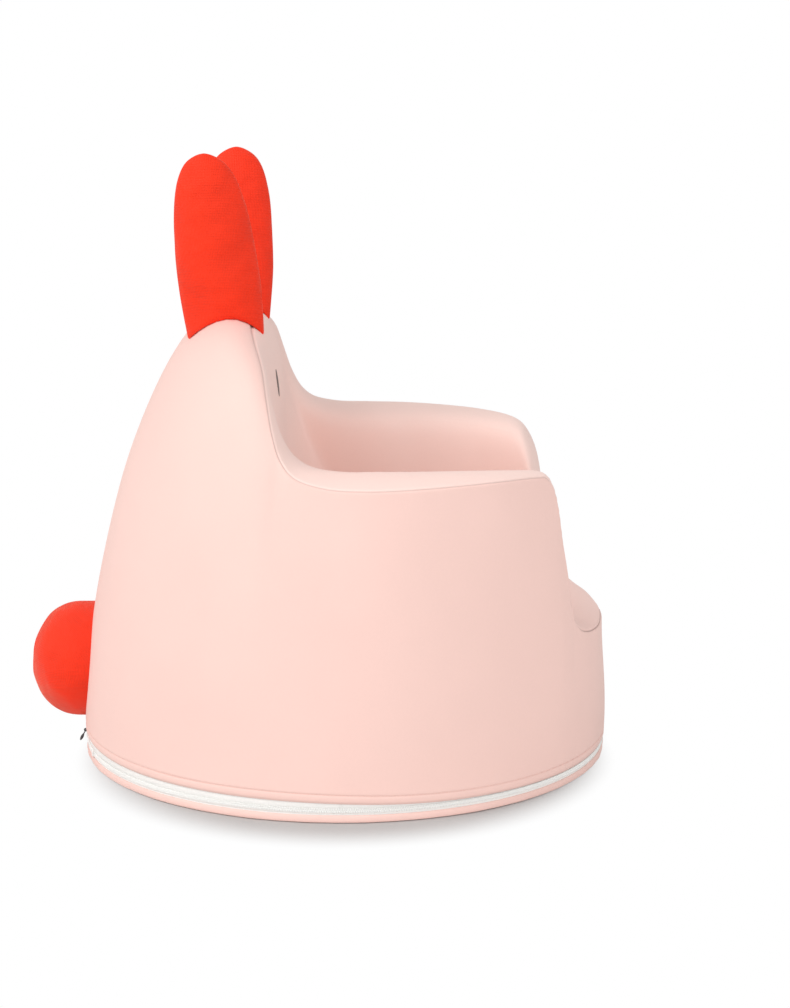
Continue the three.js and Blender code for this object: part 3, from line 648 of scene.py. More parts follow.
class Look:
    """A node material, built from its shader outwards."""

    def __init__(self, name, colour, rough, **sockets):
        self.material = bpy.data.materials.new(name)
        self.material.use_nodes = True
        self.nodes = self.material.node_tree.nodes
        self.links = self.material.node_tree.links
        self.shader = self.nodes["Principled BSDF"]
        self.colour = colour
        self.shader.inputs["Base Color"].default_value = (*colour, 1)
        self.shader.inputs["Roughness"].default_value = rough
        for key, value in sockets.items():
            self.shader.inputs[key.replace("_", " ")].default_value = value

    def node(self, kind, links=None, **settings):
        made = self.nodes.new(kind)
        for key, value in settings.items():
            setattr(made, key, value)
        for socket, source in (links or {}).items():
            if isinstance(source, (int, float, tuple)):
                made.inputs[socket].default_value = source
            else:
                self.links.new(source, made.inputs[socket])
        return made

    def maths(self, operation, *values):
        made = self.node("ShaderNodeMath", dict(enumerate(values)), operation=operation)
        return made.outputs[0]

    def vector(self, operation, *values):
        made = self.node("ShaderNodeVectorMath", dict(enumerate(values)), operation=operation)
        return made.outputs["Value" if operation == "LENGTH" else "Vector"]

    def uv(self):
        return self.node("ShaderNodeUVMap").outputs["UV"]

    def place(self):
        return self.node("ShaderNodeTexCoord").outputs["Object"]

    def cloud(self, vector, scale, detail=3.0, rough=0.55):
        links = {"Vector": vector, "Scale": scale, "Detail": detail, "Roughness": rough}
        return self.node("ShaderNodeTexNoise", links).outputs["Fac"]

    def spread(self, value, low, high, to_low, to_high, kind="LINEAR"):
        links = {0: value, 1: low, 2: high, 3: to_low, 4: to_high}
        return self.node("ShaderNodeMapRange", links, interpolation_type=kind).outputs[0]

    def wave(self, value):
        return self.maths("SINE", self.maths("MULTIPLY", value, math.pi))

    def weave(self, vector, pitch):
        """Height of a plain weave whose threads lie one pitch apart."""
        parts = self.node("ShaderNodeSeparateXYZ", {0: vector})
        x = self.maths("DIVIDE", parts.outputs[0], pitch)
        y = self.maths("DIVIDE", parts.outputs[1], pitch)
        heights = []
        for along, over, start in ((x, y, 0.0), (y, x, 1.0)):
            turn = self.maths("ADD", self.maths("FLOOR", along), start)
            wave = self.wave(self.maths("ADD", over, turn))
            lift = self.maths("MULTIPLY_ADD", wave, 0.5, 0.5)
            thread = self.maths("ABSOLUTE", self.wave(along))
            heights.append(self.maths("MULTIPLY", thread, lift))
        return self.maths("MAXIMUM", *heights)

    def tint(self, value, dark, light):
        """Colour from a value: the base colour scaled from dark to light."""
        ramp = self.node("ShaderNodeValToRGB", {0: value})
        ramp.color_ramp.elements[0].color = (*[min(1, c * dark) for c in self.colour], 1)
        ramp.color_ramp.elements[1].color = (*[min(1, c * light) for c in self.colour], 1)
        self.links.new(ramp.outputs[0], self.shader.inputs["Base Color"])

    def darken(self, share, scale):
        """Lets the colour fall to a scale of itself where the share is 1."""
        socket = self.shader.inputs["Base Color"]
        before = socket.links[0].from_socket
        mixed = self.node("ShaderNodeMix", data_type="RGBA")
        self.links.new(share, mixed.inputs[0])
        self.links.new(before, mixed.inputs[6])
        mixed.inputs[7].default_value = (*[c * scale for c in self.colour], 1)
        self.links.new(mixed.outputs[2], socket)

    def bumps(self, *layers):
        """Stacks heights, each with its distance in metres and its strength."""
        normal = None
        for height, distance, strength in layers:
            links = {"Height": height, "Distance": distance, "Strength": strength}
            bump = self.node("ShaderNodeBump", links)
            if normal:
                self.links.new(normal, bump.inputs["Normal"])
            normal = bump.outputs["Normal"]
        self.links.new(normal, self.shader.inputs["Normal"])


def soft_cover(name, colour):
    look = Look(
        name,
        colour,
        0.82,
        Sheen_Weight=0.25,
        Sheen_Roughness=0.45,
        Sheen_Tint=(1, 0.93, 0.9, 1),
        Specular_IOR_Level=0.25,
    )
    spot = look.place()
    knit = look.weave(look.uv(), KNIT_PITCH)
    fuzz = look.cloud(spot, 2600.0, 2.0)
    patch = look.cloud(spot, 9.0, 2.0)
    grain = look.cloud(spot, 420.0, 3.0)
    mixed = look.maths("MULTIPLY_ADD", patch, 0.55, look.maths("MULTIPLY", grain, 0.25))
    mixed = look.maths("MULTIPLY_ADD", knit, 0.2, mixed)
    look.tint(look.spread(mixed, 0.25, 0.75, 0.0, 1.0), 0.955, 1.02)
    # Painted shade: the cloth's colour falls to SEAM_SHADE of itself along its seams and grooves.
    painted_crease_shade = look.node("ShaderNodeAttribute", attribute_name="painted_crease_shade").outputs["Fac"]
    look.darken(painted_crease_shade, SEAM_SHADE)
    waves = look.cloud(spot, 26.0, 2.0)
    look.bumps((waves, 0.0009, 0.35), (knit, 0.00016, 0.35), (fuzz, 0.00012, 0.4))
    return look.material


def red_weave(name, colour):
    look = Look(
        name,
        colour,
        0.56,
        Sheen_Weight=0.5,
        Sheen_Roughness=0.35,
        Sheen_Tint=(1, 0.42, 0.28, 1),
        Specular_IOR_Level=0.5,
        Specular_Tint=(1, 0.6, 0.5, 1),
    )
    uv = look.uv()
    spot = look.place()
    wobble = look.node("ShaderNodeTexNoise", {"Vector": spot, "Scale": 60.0, "Detail": 2.0})
    shift = look.vector("MULTIPLY", wobble.outputs["Color"], (0.0009, 0.0009, 0.0))
    weave = look.weave(look.vector("ADD", uv, shift), RED_PITCH)
    slub = look.node("ShaderNodeMapping", {"Vector": uv, "Scale": (35.0, 420.0, 1.0)}).outputs[0]
    lines = look.cloud(slub, 1.0, 3.0)
    fuzz = look.cloud(spot, 1900.0, 2.0)
    mixed = look.maths("MULTIPLY_ADD", weave, 0.6, look.maths("MULTIPLY", lines, 0.4))
    # Soft dents, which also set part of the colour: lighter where the cloth is raised and darker in
    # the hollows, which is painted shade; the weave and slubs are the cloth's own pattern.
    dents_and_painted_shade = look.cloud(spot, 24.0, 2.0)
    mixed = look.maths("MULTIPLY_ADD", dents_and_painted_shade, 0.5, look.maths("MULTIPLY", mixed, 0.7))
    look.tint(look.spread(mixed, 0.25, 0.8, 0.0, 1.0), 0.74, 1.1)
    threads = [(lines, 0.0004, 0.4), (weave, 0.00042, 0.75), (fuzz, 0.0002, 0.4)]
    look.bumps((dents_and_painted_shade, 0.012, 0.55), *threads)
    return look.material


def plain_thread(name, colour, pitch, rough):
    look = Look(name, colour, rough, Sheen_Weight=0.15, Specular_IOR_Level=0.4)
    spot = look.place()
    look.tint(look.cloud(spot, 700.0), 0.86, 1.06)
    look.bumps((look.cloud(spot, 1.0 / pitch, 2.0), pitch * 0.4, 0.5))
    return look.material


def tape_cloth(name, colour):
    look = Look(name, colour, 0.6, Specular_IOR_Level=0.4)
    look.tint(look.cloud(look.place(), 500.0), 0.94, 1.03)
    look.bumps((look.weave(look.uv(), TAPE_PITCH), 0.0002, 0.7))
    return look.material


def nylon(name, colour):
    look = Look(name, colour, 0.32, Specular_IOR_Level=0.5, Coat_Weight=0.15)
    spot = look.place()
    look.tint(look.cloud(spot, 300.0), 0.96, 1.02)
    look.bumps((look.cloud(spot, 1500.0), 0.00005, 0.3))
    return look.material


def painted(name, colour):
    look = Look(name, colour, 0.36, Metallic=0.35, Coat_Weight=0.3, Coat_Roughness=0.2)
    spot = look.place()
    wear = look.cloud(spot, 900.0, 4.0)
    look.tint(wear, 0.85, 1.25)
    look.links.new(look.spread(wear, 0.3, 0.7, 0.28, 0.5), look.shader.inputs["Roughness"])
    look.bumps((look.cloud(spot, 2500.0), 0.00003, 0.4))
    return look.material


def dotted_base(name, colour, dots):
    """Smooth cloth with a grid of small raised rubber dots."""
    look = Look(name, colour, 0.7, Specular_IOR_Level=0.35)
    spot = look.place()
    grid = look.vector("MODULO", spot, (DOT_PITCH, DOT_PITCH, 1.0))
    parts = look.node("ShaderNodeSeparateXYZ", {0: look.vector("ABSOLUTE", grid)})
    x, y = (look.maths("SUBTRACT", parts.outputs[k], DOT_PITCH / 2) for k in (0, 1))
    far = look.maths("ADD", look.maths("MULTIPLY", x, x), look.maths("MULTIPLY", y, y))
    dot = look.spread(look.maths("SQRT", far), 0.0010, 0.0015, 1.0, 0.0)
    ramp = look.node("ShaderNodeValToRGB", {0: dot})
    ramp.color_ramp.elements[0].color = (*colour, 1)
    ramp.color_ramp.elements[1].color = (*dots, 1)
    look.links.new(ramp.outputs[0], look.shader.inputs["Base Color"])
    look.bumps((look.cloud(spot, 1400.0), 0.0002, 0.4), (dot, 0.0005, 0.8))
    return look.material


PINK = (0.91, 0.635, 0.575)
# A lighter copy of the pink for the top band and the lining: painted light, for the light the band
# catches from above.
PINK_PAINTED_LIGHTER = (0.945, 0.71, 0.65)
RED = (0.98, 0.03, 0.004)

cover_cloth = soft_cover("cover_cloth", PINK)
pink_cloth_painted_lighter = soft_cover("pink_cloth_painted_lighter", PINK_PAINTED_LIGHTER)
ear_cloth = red_weave("ear_cloth", RED)
pink_thread = plain_thread("pink_thread", (0.86, 0.56, 0.49), 0.0004, 0.6)
brown_thread = plain_thread("brown_thread", (0.1, 0.055, 0.04), 0.0005, 0.5)
white_tape = tape_cloth("white_tape", (0.95, 0.95, 0.93))
white_nylon = nylon("white_nylon", (0.93, 0.94, 0.92))
grey_paint = painted("grey_paint", (0.055, 0.056, 0.062))
base_cloth = dotted_base("base_cloth", PINK, (0.8, 0.74, 0.7))


def dress(piece, look, slot, *nodes, body="body", fill=None):
    piece.data.materials.clear()
    piece.data.materials.append(look)
    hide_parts(*nodes)
    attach(piece, body)


# --- Cover panels ---


def rows_between(first, last, pitch):
    """Rows about one pitch apart, measured along the hem and the seam, whichever is longer."""
    rows = [first]
    for row in np.arange(first, last):
        ends = np.array([row, row + 1.0])
        foot = wall_lines(ends, [0.0])[:, 0]
        seam = outer_rim(ends)
        length = max(np.linalg.norm(foot[1] - foot[0]), np.linalg.norm(seam[1] - seam[0]))
        count = max(2, round(length / pitch))
        rows.extend(row + np.arange(1, count + 1) / count)
    return np.array(rows)


FINE = np.linspace(0, 1, 240)
NOWHERE = np.zeros_like(FINE)
ALL_OVER = np.ones_like(FINE)
RUN_ON = 0.004
SEAT_PITCH = 0.0028
SEAT_SHARES = 160
SEAT_FIRST_SHARE = 0.004
EDGE_ROUND = 0.013
EDGE_REACH = 0.034
EDGE_SPOTS = 160
CORNER_ROW = 14.2
CORNER_REACH = 0.06
CORNER_SOFT = {"right": 0.02, "left": 0.024}
SEAM_ROUND = {"right": 0.3, "left": 1.0}
FRONT_SOFT = 0.016
FRONT_REACH = 0.045
ARM_END_STEP = 14
ARM_FOOT_FIRM = 0.012
HUB_FIRM = 0.02

all_rows = rows_between(-LAST_ROW, LAST_ROW, ROW_PITCH)
band_rows = rows_between(-LAST_BAND_ROW, LAST_BAND_ROW, ROW_PITCH)


def run_on(points):
    """Carries a panel on past its first and last rows, down behind the edge of the seat."""
    low = points[[0, -1]] - UP * RUN_ON
    low = low - away_from_axis(low[..., 0], low[..., 1]) * RUN_ON / 3
    return np.concatenate([low[:1], points, low[1:]])


def eased(first, second):
    """Rounds the edge where two panels' lines meet, and gives both back, still meeting there."""
    halves = ([], [])
    for a, b in zip(first, second):
        line = np.vstack([a, b[1:]])
        lengths = travelled(line)
        edge, end = lengths[len(a) - 1], lengths[-1]
        sides = [np.linspace(0, edge, EDGE_SPOTS), np.linspace(edge, end, EDGE_SPOTS)]
        even = np.unique(np.concatenate(sides))
        line = read_at(even, lengths, line)
        reach = np.maximum(np.minimum(EDGE_ROUND, np.minimum(even, end - even) / 2.5), 1e-5)
        apart = (even[:, None] - even) / reach[:, None]
        pull = np.exp(-(apart**2) / 2) * np.gradient(even)
        soft = pull @ line / pull.sum(axis=1, keepdims=True)
        line = line + (soft - line) * bell(even - edge, EDGE_REACH)[:, None]
        halves[0].append(line[:EDGE_SPOTS])
        halves[1].append(line[EDGE_SPOTS - 1 :])
    return np.array(halves[0]), np.array(halves[1])


def eased_rows(lines, rows, row, soft, reach, share):
    """Smooths a panel along its rows, about one row, by as much as each column's share."""
    rim = outer_rim(rows)
    lengths = travelled(rim)
    apart = np.abs(lengths[:, None] - lengths)
    if len(rows) == len(all_rows):
        whole = lengths[-1] + np.linalg.norm(rim[0] - rim[-1])
        apart = np.minimum(apart, whole - apart)
    pull = np.exp(-((apart / soft) ** 2) / 2) * np.gradient(lengths)
    smoothed = np.einsum("ij,jkl->ikl", pull / pull.sum(axis=1, keepdims=True), lines)
    near = bell(apart[np.argmin(np.abs(rows - row))], reach)
    return lines + (smoothed - lines) * (near[:, None] * share)[..., None]


def cornered(lines, rows, seam_side, crest_side):
    """Rounds the front top corner of each arm.

    The two shares say how much of it each column takes, towards the outer seam and the crest.
    """
    for sign, side in ((-1, "right"), (1, "left")):
        share = SEAM_ROUND[side] * seam_side + (1 - SEAM_ROUND[side]) * crest_side
        soft = CORNER_SOFT[side]
        lines = eased_rows(lines, rows, sign * CORNER_ROW, soft, CORNER_REACH, share)
    return lines


near_rim = (1 - FINE) ** 2
wall_fine = cornered(wall_lines(all_rows, FINE), all_rows, FINE**3, NOWHERE)
wall_fine = eased_rows(wall_fine, all_rows, -LAST_ROW, FRONT_SOFT, FRONT_REACH, ALL_OVER)
band_fine = cornered(band_lines(band_rows, FINE), band_rows, ALL_OVER, FINE**0.7)
inner_fine = cornered(inner_lines(band_rows, FINE), band_rows, near_rim, near_rim)
band_fine, inner_fine = eased(band_fine, inner_fine)
outer_points = spaced(wall_fine, HEM_COLUMNS, WALL_COLUMNS, SEAM_COLUMNS)
band_points = run_on(spaced(band_fine, SEAM_COLUMNS, BAND_COLUMNS, [0]))
inner_points = run_on(spaced(inner_fine, [0], LINING_COLUMNS, SEAM_COLUMNS))

front_right = all_rows <= -LAST_BAND_ROW
front_left = all_rows >= LAST_BAND_ROW
# The lower end of each arm's front, from its crest over the band to the outer seam
arm_ends = {sign: band_fine[row, :0:-ARM_END_STEP] for sign, row in ((1, -1), (-1, 0))}
hub = np.array([0, -SEAT_HUB, float(seat_height(0, SEAT_HUB))])
firm_spots = [(inner_fine[end, -1], ARM_FOOT_FIRM) for end in (0, -1)] + [(hub, HUB_FIRM)]


def thinned(points):
    """Indices of the points of a line that lie well apart, its two ends among them."""
    kept = [0]
    for k in range(1, len(points) - 1):
        if np.linalg.norm(points[[kept[-1], -1]] - points[k], axis=1).min() > SEAT_PITCH:
            kept.append(k)
    return kept + [len(points) - 1]


well_kept = thinned(well_foot(band_rows))


def seat_points():
    """Rings from the middle of the seat out to its seam, which turns up where it meets the well."""
    front = [wall_fine[front_left, -1], wall_fine[front_right, -1]]
    outline = [well_foot(band_rows)[well_kept], arm_ends[1], *front, arm_ends[-1][::-1]]
    outline = np.vstack(outline + [outline[0][:1]])
    share = (1 - np.exp(-3 * np.linspace(0.0, 1, SEAT_SHARES))) / (1 - math.exp(-3))
    share = SEAT_FIRST_SHARE + (1 - SEAT_FIRST_SHARE) * share
    rings = hub + (outline[:, None] - hub) * share[:, None]
    turn_up = outline[:, 2] - seat_height(outline[:, 0], -outline[:, 1])
    level = seat_height(rings[..., 0], -rings[..., 1])
    rings[..., 2] = level + turn_up[:, None] * share**4
    return spaced(rings, [0], SEAT_RINGS, SEAM_COLUMNS)


seat = seat_points()
outer_normals = grid_normals(outer_points, True)
band_normals = grid_normals(band_points)
inner_normals = grid_normals(inner_points)
seat_normals = -grid_normals(seat, True)

on_band = np.abs(all_rows) <= LAST_BAND_ROW
beside_outer = np.tile(UP, (len(all_rows), 1))
beside_outer[on_band] = band_normals[1:-1, 0]
beside_band = outer_normals[on_band, -1]
beside_band = np.vstack([beside_band[:1], beside_band, beside_band[-1:]])
edge_normals = unit(band_normals[:, -1] + inner_normals[:, 0])
band_normals[:, -1] = inner_normals[:, 0] = edge_normals
beside_seat = np.vstack(
    [
        inner_normals[1:-1, -1][well_kept],
        np.tile(UP, (len(arm_ends[1]), 1)),
        outer_normals[front_left, -1],
        outer_normals[front_right, -1],
        np.tile(UP, (len(arm_ends[-1]), 1)),
        inner_normals[1:2, -1],
    ]
)
foams = ["back_foam", "arm_foam_right", "arm_foam_left", "base_foam"]
outer_cover = panel(
    "cover_outer",
    outer_points,
    outer_normals,
    {0: outer_normals[:, 0], -1: beside_outer},
    [HEM_STITCH_RISE],
    ringed=True,
    seed=1,
)
dress(outer_cover, cover_cloth, "cover_pink", "outer_cover_panel", *foams, fill=1.0)
# The band and the lining wear the lighter pink, which is painted light.
band_cover = panel("cover_band", band_points, band_normals, {0: beside_band}, seed=2)
dress(band_cover, pink_cloth_painted_lighter, "band_pink", "top_band", fill=1.0)
inner_cover = panel("cover_inner", inner_points, inner_normals, {-1: UP}, seed=2)
dress(inner_cover, pink_cloth_painted_lighter, "cover_pink", "inner_cover_panel", fill=1.0)
seat_cover = panel(
    "cover_seat", seat, seat_normals, {-1: beside_seat}, ringed=True, hub=hub, seed=4, uneven=0.001
)
dress(seat_cover, cover_cloth, "cover_pink", "seat_cover_panel", "seat_pad_foam", fill=1.0)


def grid_faces(points, start):
    """Corners of a grid's faces, counted on from the start."""
    n = points.shape[1]
    corner = start + np.arange(len(points) - 1)[:, None] * n + np.arange(n - 1)
    return np.stack([corner, corner + 1, corner + n + 1, corner + n], -1).reshape(-1, 4).tolist()


body_faces = BVHTree.FromPolygons(
    np.vstack([outer_points.reshape(-1, 3), band_points.reshape(-1, 3)]).tolist(),
    grid_faces(outer_points, 0) + grid_faces(band_points, outer_points.size // 3),
)


# --- Ears ---


def shaped_ball(name, segments, rings, surface, reach=0.0):
    """A ball moved to a surface of turns and rises, with its cloth lengths as UV, then blown up."""
    clear_selection()
    bpy.ops.mesh.primitive_uv_sphere_add(segments=segments, ring_count=rings, radius=1)
    piece = start_piece(name)
    flat = points_of(piece)
    turn = np.arctan2(flat[:, 1], flat[:, 0])
    rise = 1 - np.arccos(np.clip(flat[:, 2], -1, 1)) / math.pi
    points, lengths, sewn = surface(turn, rise)
    set_points(piece, points)
    write_uv(piece, lengths)
    edit(piece)
    bpy.ops.mesh.normals_make_consistent(inside=False)
    leave_edit()
    if reach:
        blown_up(piece, sewn, reach)
    smooth(piece, 60)
    return piece


def tree_of(points):
    """A search tree that finds the nearest of these points."""
    tree = KDTree(len(points))
    for k, spot in enumerate(points):
        tree.insert(spot, k)
    tree.balance()
    return tree


def blown_up(piece, sewn, reach):
    """Blows a copy up as cloth, held along its sewn lines, and moves the piece along with it."""
    copy = put("swelling", piece.data.copy())
    apply_modifier(copy, "REMESH", "even", mode="VOXEL", voxel_size=VOXEL)
    before = points_of(copy)
    lines = tree_of(sewn)
    held = copy.vertex_groups.new(name="held")
    for k, spot in enumerate(before):
        weight = 1 - (lines.find(spot)[2] - SEWN_REACH) / SEWN_REACH
        if weight > 0:
            held.add([k], min(1.0, weight), "REPLACE")
    cloth = copy.modifiers.new("cloth", "CLOTH")
    cloth.settings.use_pressure = True
    cloth.settings.uniform_pressure_force = PRESSURE
    cloth.settings.vertex_group_mass = "held"
    cloth.settings.effector_weights.gravity = 0
    cloth.point_cache.frame_end = FRAMES
    for number in range(1, FRAMES + 1):
        bpy.context.scene.frame_set(number)
    apply_modifier_as_is(copy, "cloth")
    moves = points_of(copy) - before
    bpy.context.scene.frame_set(1)
    near = tree_of(before)
    points = points_of(piece)
    shift = np.zeros_like(points)
    for k, spot in enumerate(points):
        found = near.find_n(spot, NEIGHBOURS)
        weights = np.array([1 / (1e-6 + gap**2) for _, _, gap in found])
        shift[k] = weights @ moves[[index for _, index, _ in found]] / weights.sum()
    length = np.linalg.norm(shift, axis=1, keepdims=True)
    shift = shift * np.minimum(1, reach / np.maximum(length, 1e-9))
    set_points(piece, points + shift)
    bpy.data.objects.remove(copy)


# The ear's table runs on past its tip, so that the curve closes round it
ear_table = through(EAR_SHARES + [(1, 0, 0), (0.985, -0.22, -0.2)])


def ear_surface(side, seed):
    sign = 1 if side == "left" else -1
    foot = np.array(place(sign * EAR_SPACING / 2, EAR_FORWARD, EAR_SEAT))
    splayed = sign * (EAR_SPACING / 2 + EAR_SPLAY)
    tip = np.array(place(splayed, EAR_FORWARD - EAR_LEAN[side], EAR_HEIGHT[side]))
    last = len(EAR_SHARES)

    def section(spot, angles, draw_in=0.0):
        """The ear's outline at a spot of its table. Angle 0 is the front seam, and pi the back."""
        along, wide, thick = ear_table(spot)
        width = wide * EAR_WIDTH
        swell = np.sign(np.sin(angles)) * np.abs(np.sin(angles)) ** EAR_EDGE
        from_seam = np.minimum(np.abs(np.sin(angles / 2)), np.abs(np.cos(angles / 2))) * width
        pinch = np.minimum(EAR_SEAM_SINK, 0.2 * width) * bell(from_seam, EAR_SEAM_ROLL)
        half_wide = np.maximum(0, width / 2 - draw_in - pinch)
        half_thick = np.maximum(0, thick * (EAR_THICKNESS / 2 - EAR_SWELL) - draw_in)
        shift = [half_thick * swell, -half_wide * np.cos(angles), np.zeros_like(angles)]
        return foot + (tip - foot) * along + np.stack(shift, -1)

    fine = np.linspace(0, last, EAR_SPOTS)
    around = np.linspace(-math.pi, math.pi, EAR_TURNS + 1)
    rings = np.array([section(spot, around) for spot in fine])
    girth = travelled(rings)
    length = travelled(rings[:, EAR_TURNS * 3 // 4])

    def hem(angle):
        """The spot in the table at which this side of the ear meets the cover."""
        k = int(round((angle + math.pi) / (2 * math.pi) * EAR_TURNS))
        for n in range(len(fine) - 1, 0, -1):
            start, end = Vector(rings[n, k]), Vector(rings[n - 1, k])
            reach = (end - start).length
            hit = body_faces.ray_cast(start, end - start, reach) if reach > 0 else (None,)
            if hit[0] is not None:
                return fine[n] - (hit[0] - start).length / reach * (fine[n] - fine[n - 1])
        return 0.0

    def surface(turn, rise):
        angle = turn - EAR_CROWD * np.sin(2 * turn)
        hems = {}
        for key in set(np.round(angle, 5)):
            above = np.interp(hem(key), fine, length) + EAR_HANG * abs(math.sin(key))
            hems[key] = float(np.interp(above, length, fine))
        points = np.zeros((len(turn), 3))
        lengths = np.zeros((len(turn), 2))
        for k, (key, height) in enumerate(zip(np.round(angle, 5), rise)):
            start = hems[key]
            share = (height - EAR_FLOOR) / (1 - EAR_FLOOR)
            if share >= 0:
                spot = start + (last - start) * share**EAR_RISE_CROWD
                above = np.interp(spot, fine, length) - np.interp(start, fine, length)
                short = max(0, 1 - above / EAR_HEM_ROLL)
                inward = EAR_HEM_ROLL * (1 - math.sqrt(1 - short**2))
                points[k] = section(spot, np.array([key]), inward)[0]
            else:
                spot = start
                edge = section(start, np.array([key]), EAR_HEM_ROLL)[0]
                middle = np.array([foot[0], foot[1], edge[2] + EAR_UNDER])
                point = middle + (edge - middle) * (height / EAR_FLOOR)
                hit = body_faces.ray_cast(Vector((*point[:2], 0.5)), Vector((0, 0, -1)), 0.3)[0]
                rest = edge[2] if hit is None else hit[2]
                points[k] = (point[0], point[1], rest + EAR_CLEAR)
            n = int(np.clip(np.interp(spot, fine, np.arange(len(fine))), 0, len(fine) - 1))
            middle_of_side = np.interp(math.copysign(math.pi / 2, key), around, girth[n])
            from_middle = np.interp(key, around, girth[n]) - middle_of_side
            across = from_middle + EAR_SIDE_APART * (key > 0)
            lengths[k] = across, np.interp(spot, fine, length)
        ripple = drift(points[None] * (1, 1, 0.6), *EAR_DENTS, seed)[0]
        ripple = ripple + drift(points[None], *EAR_WRINKLES, seed + 3)[0]
        height = points[:, 2:]
        core = foot + (tip - foot) * ((height - foot[2]) / (tip[2] - foot[2]))
        out = unit(points - core + 1e-9)
        calm = np.clip((height - foot[2]) / EAR_CALM_FOOT, 0, 1)
        calm = (calm * np.clip((tip[2] - height) / EAR_CALM_TIP, 0, 1))[:, 0]
        calm = calm * np.abs(np.sin(angle)) ** 0.7 * (rise > EAR_FLOOR)
        sewn = points[(rise <= EAR_FLOOR) | (np.abs(np.sin(angle)) < 0.06)]
        return points + out * (ripple * calm)[:, None], lengths, sewn

    return surface


for side, seed in (("right", 6), ("left", 5)):
    piece = shaped_ball("stuffed_ear_" + side, 128, 120, ear_surface(side, seed), EAR_SWELL)
    dress(piece, ear_cloth, "woven_red", "ear_cover_" + side, "ear_filling_" + side, fill=0.9)


# --- Tail ---


def tail_surface(turn, rise):
    """A stuffed dome that stands out of the cover's back, drawn in where it is sewn on."""
    share = np.clip((rise - TAIL_FLOOR) / (1 - TAIL_FLOOR), 0, 1)
    side = np.clip(share / TAIL_SIDE, 0, 1)
    dome = np.sin(np.clip((share - TAIL_SIDE) / (1 - TAIL_SIDE), 0, 1) * math.pi / 2)
    reach = TAIL_REACH - TAIL_SWELL / 2 - TAIL_SHOULDER
    back = TAIL_ROOT + (TAIL_SHOULDER - TAIL_ROOT) * side + reach * dome
    radius = (TAIL_RADIUS - TAIL_SWELL) * (1 - dome**TAIL_CROWN) ** (1 / TAIL_CROWN)
    radius = radius * np.clip(rise / TAIL_FLOOR, 0, 1) ** TAIL_NECK
    points = np.stack([radius * np.cos(turn), back, TAIL_HEIGHT + radius * np.sin(turn)], -1)
    ripple = drift(points[None], *TAIL_DENTS, 7)[0] + drift(points[None], *TAIL_WRINKLES, 8)[0]
    out = unit(points - np.array([0, TAIL_ROOT, TAIL_HEIGHT]) + 1e-9)
    far = (1 - share) * TAIL_RADIUS * TAIL_UV_REACH
    lengths = np.stack([far * np.cos(turn), far * np.sin(turn)], -1)
    return points + out * (ripple * dome)[:, None], lengths, points[share <= 0]


tail = shaped_ball("stuffed_tail", 128, 96, tail_surface, TAIL_SWELL)
high = points_of(tail)
high[:, 2] += TAIL_LIFT * np.maximum(0, high[:, 2] - TAIL_HEIGHT)
set_points(tail, high)
dress(tail, ear_cloth, "woven_red", "tail_cover", "tail_filling", fill=0.9)


# --- Eyes ---


def on_lining(rows, drops):
    """Points of the lining at rows, and at shares of the way from its rim down to its foot."""
    return np.array([inner_lines(np.array([r]), [d])[0, 0] for r, d in zip(rows, drops)])


def eye_surface(row):
    """An oval patch at a row of the cover, laid on the lining's own faces."""
    faces = BVHTree.FromObject(inner_cover, bpy.context.evaluated_depsgraph_get())
    drops = [EYE_DROP, EYE_DROP, EYE_DROP + EYE_STEP]
    centre, beside, below = on_lining([row, row + EYE_STEP, row], drops)
    per_row = np.linalg.norm(beside - centre) / EYE_STEP
    per_drop = np.linalg.norm(below - centre) / EYE_STEP
    out = unit(np.cross(beside - centre, below - centre))
    if out[1] > 0:
        out = -out

    def surface(turn, rise):
        share = np.sin(rise * math.pi)
        rows = row + share * EYE_BREADTH / 2 * np.cos(turn) / per_row
        drops = EYE_DROP + share * EYE_HEIGHT / 2 * np.sin(turn) / per_drop
        dome = EYE_PROUD + EYE_DOME * np.clip(1 - share**4, 0, 1) ** 0.5
        height = np.where(rise > 0.5, dome, -EYE_SUNK)
        points = on_lining(rows, drops)
        for k, spot in enumerate(points):
            hit = faces.ray_cast(Vector(spot + out * 0.02), Vector(-out), 0.05)[0]
            points[k] = np.array(hit) + out * height[k]
        lengths = np.stack([np.cos(turn) * EYE_BREADTH, np.sin(turn) * EYE_HEIGHT], -1)
        return points, lengths * share[:, None] / 2, None

    return surface


for side, row in (("right", -EYE_ROW), ("left", EYE_ROW)):
    piece = shaped_ball("eye_patch_" + side, 48, 24, eye_surface(row))
    dress(piece, brown_thread, "eye_thread", "eye_" + side)


# --- Floor edge ---


def ring_piece(name, outline, segments=360):
    """A closed outline of radii and heights spun about the upright axis."""
    clear_selection()
    bpy.ops.mesh.primitive_circle_add(vertices=len(outline), radius=1, fill_type="NOTHING")
    piece = start_piece(name)
    set_points(piece, np.array([(radius, 0, height) for radius, height in outline]))
    edit(piece)
    bpy.ops.mesh.spin(steps=segments, angle=2 * math.pi, center=(0, 0, 0), axis=(0, 0, 1))
    bpy.ops.mesh.select_all(action="SELECT")
    bpy.ops.mesh.remove_doubles(threshold=1e-6)
    bpy.ops.mesh.normals_make_consistent(inside=False)
    leave_edit()
    flat = points_of(piece)
    turn = np.arctan2(flat[:, 1], flat[:, 0])
    write_uv(piece, np.stack([turn * BODY_RADIUS, flat[:, 2]], -1))
    return piece


def tape_section(low, high):
    """Corners of a tape's section, softened on its outer side."""
    face = tape_outer + TAPE_SWELL
    edge = face - TAPE_BEVEL
    outside = [(edge, low), (face, low + TAPE_BEVEL), (face, high - TAPE_BEVEL), (edge, high)]
    return [(TAPE_INNER, low), *outside, (TAPE_INNER, high)]


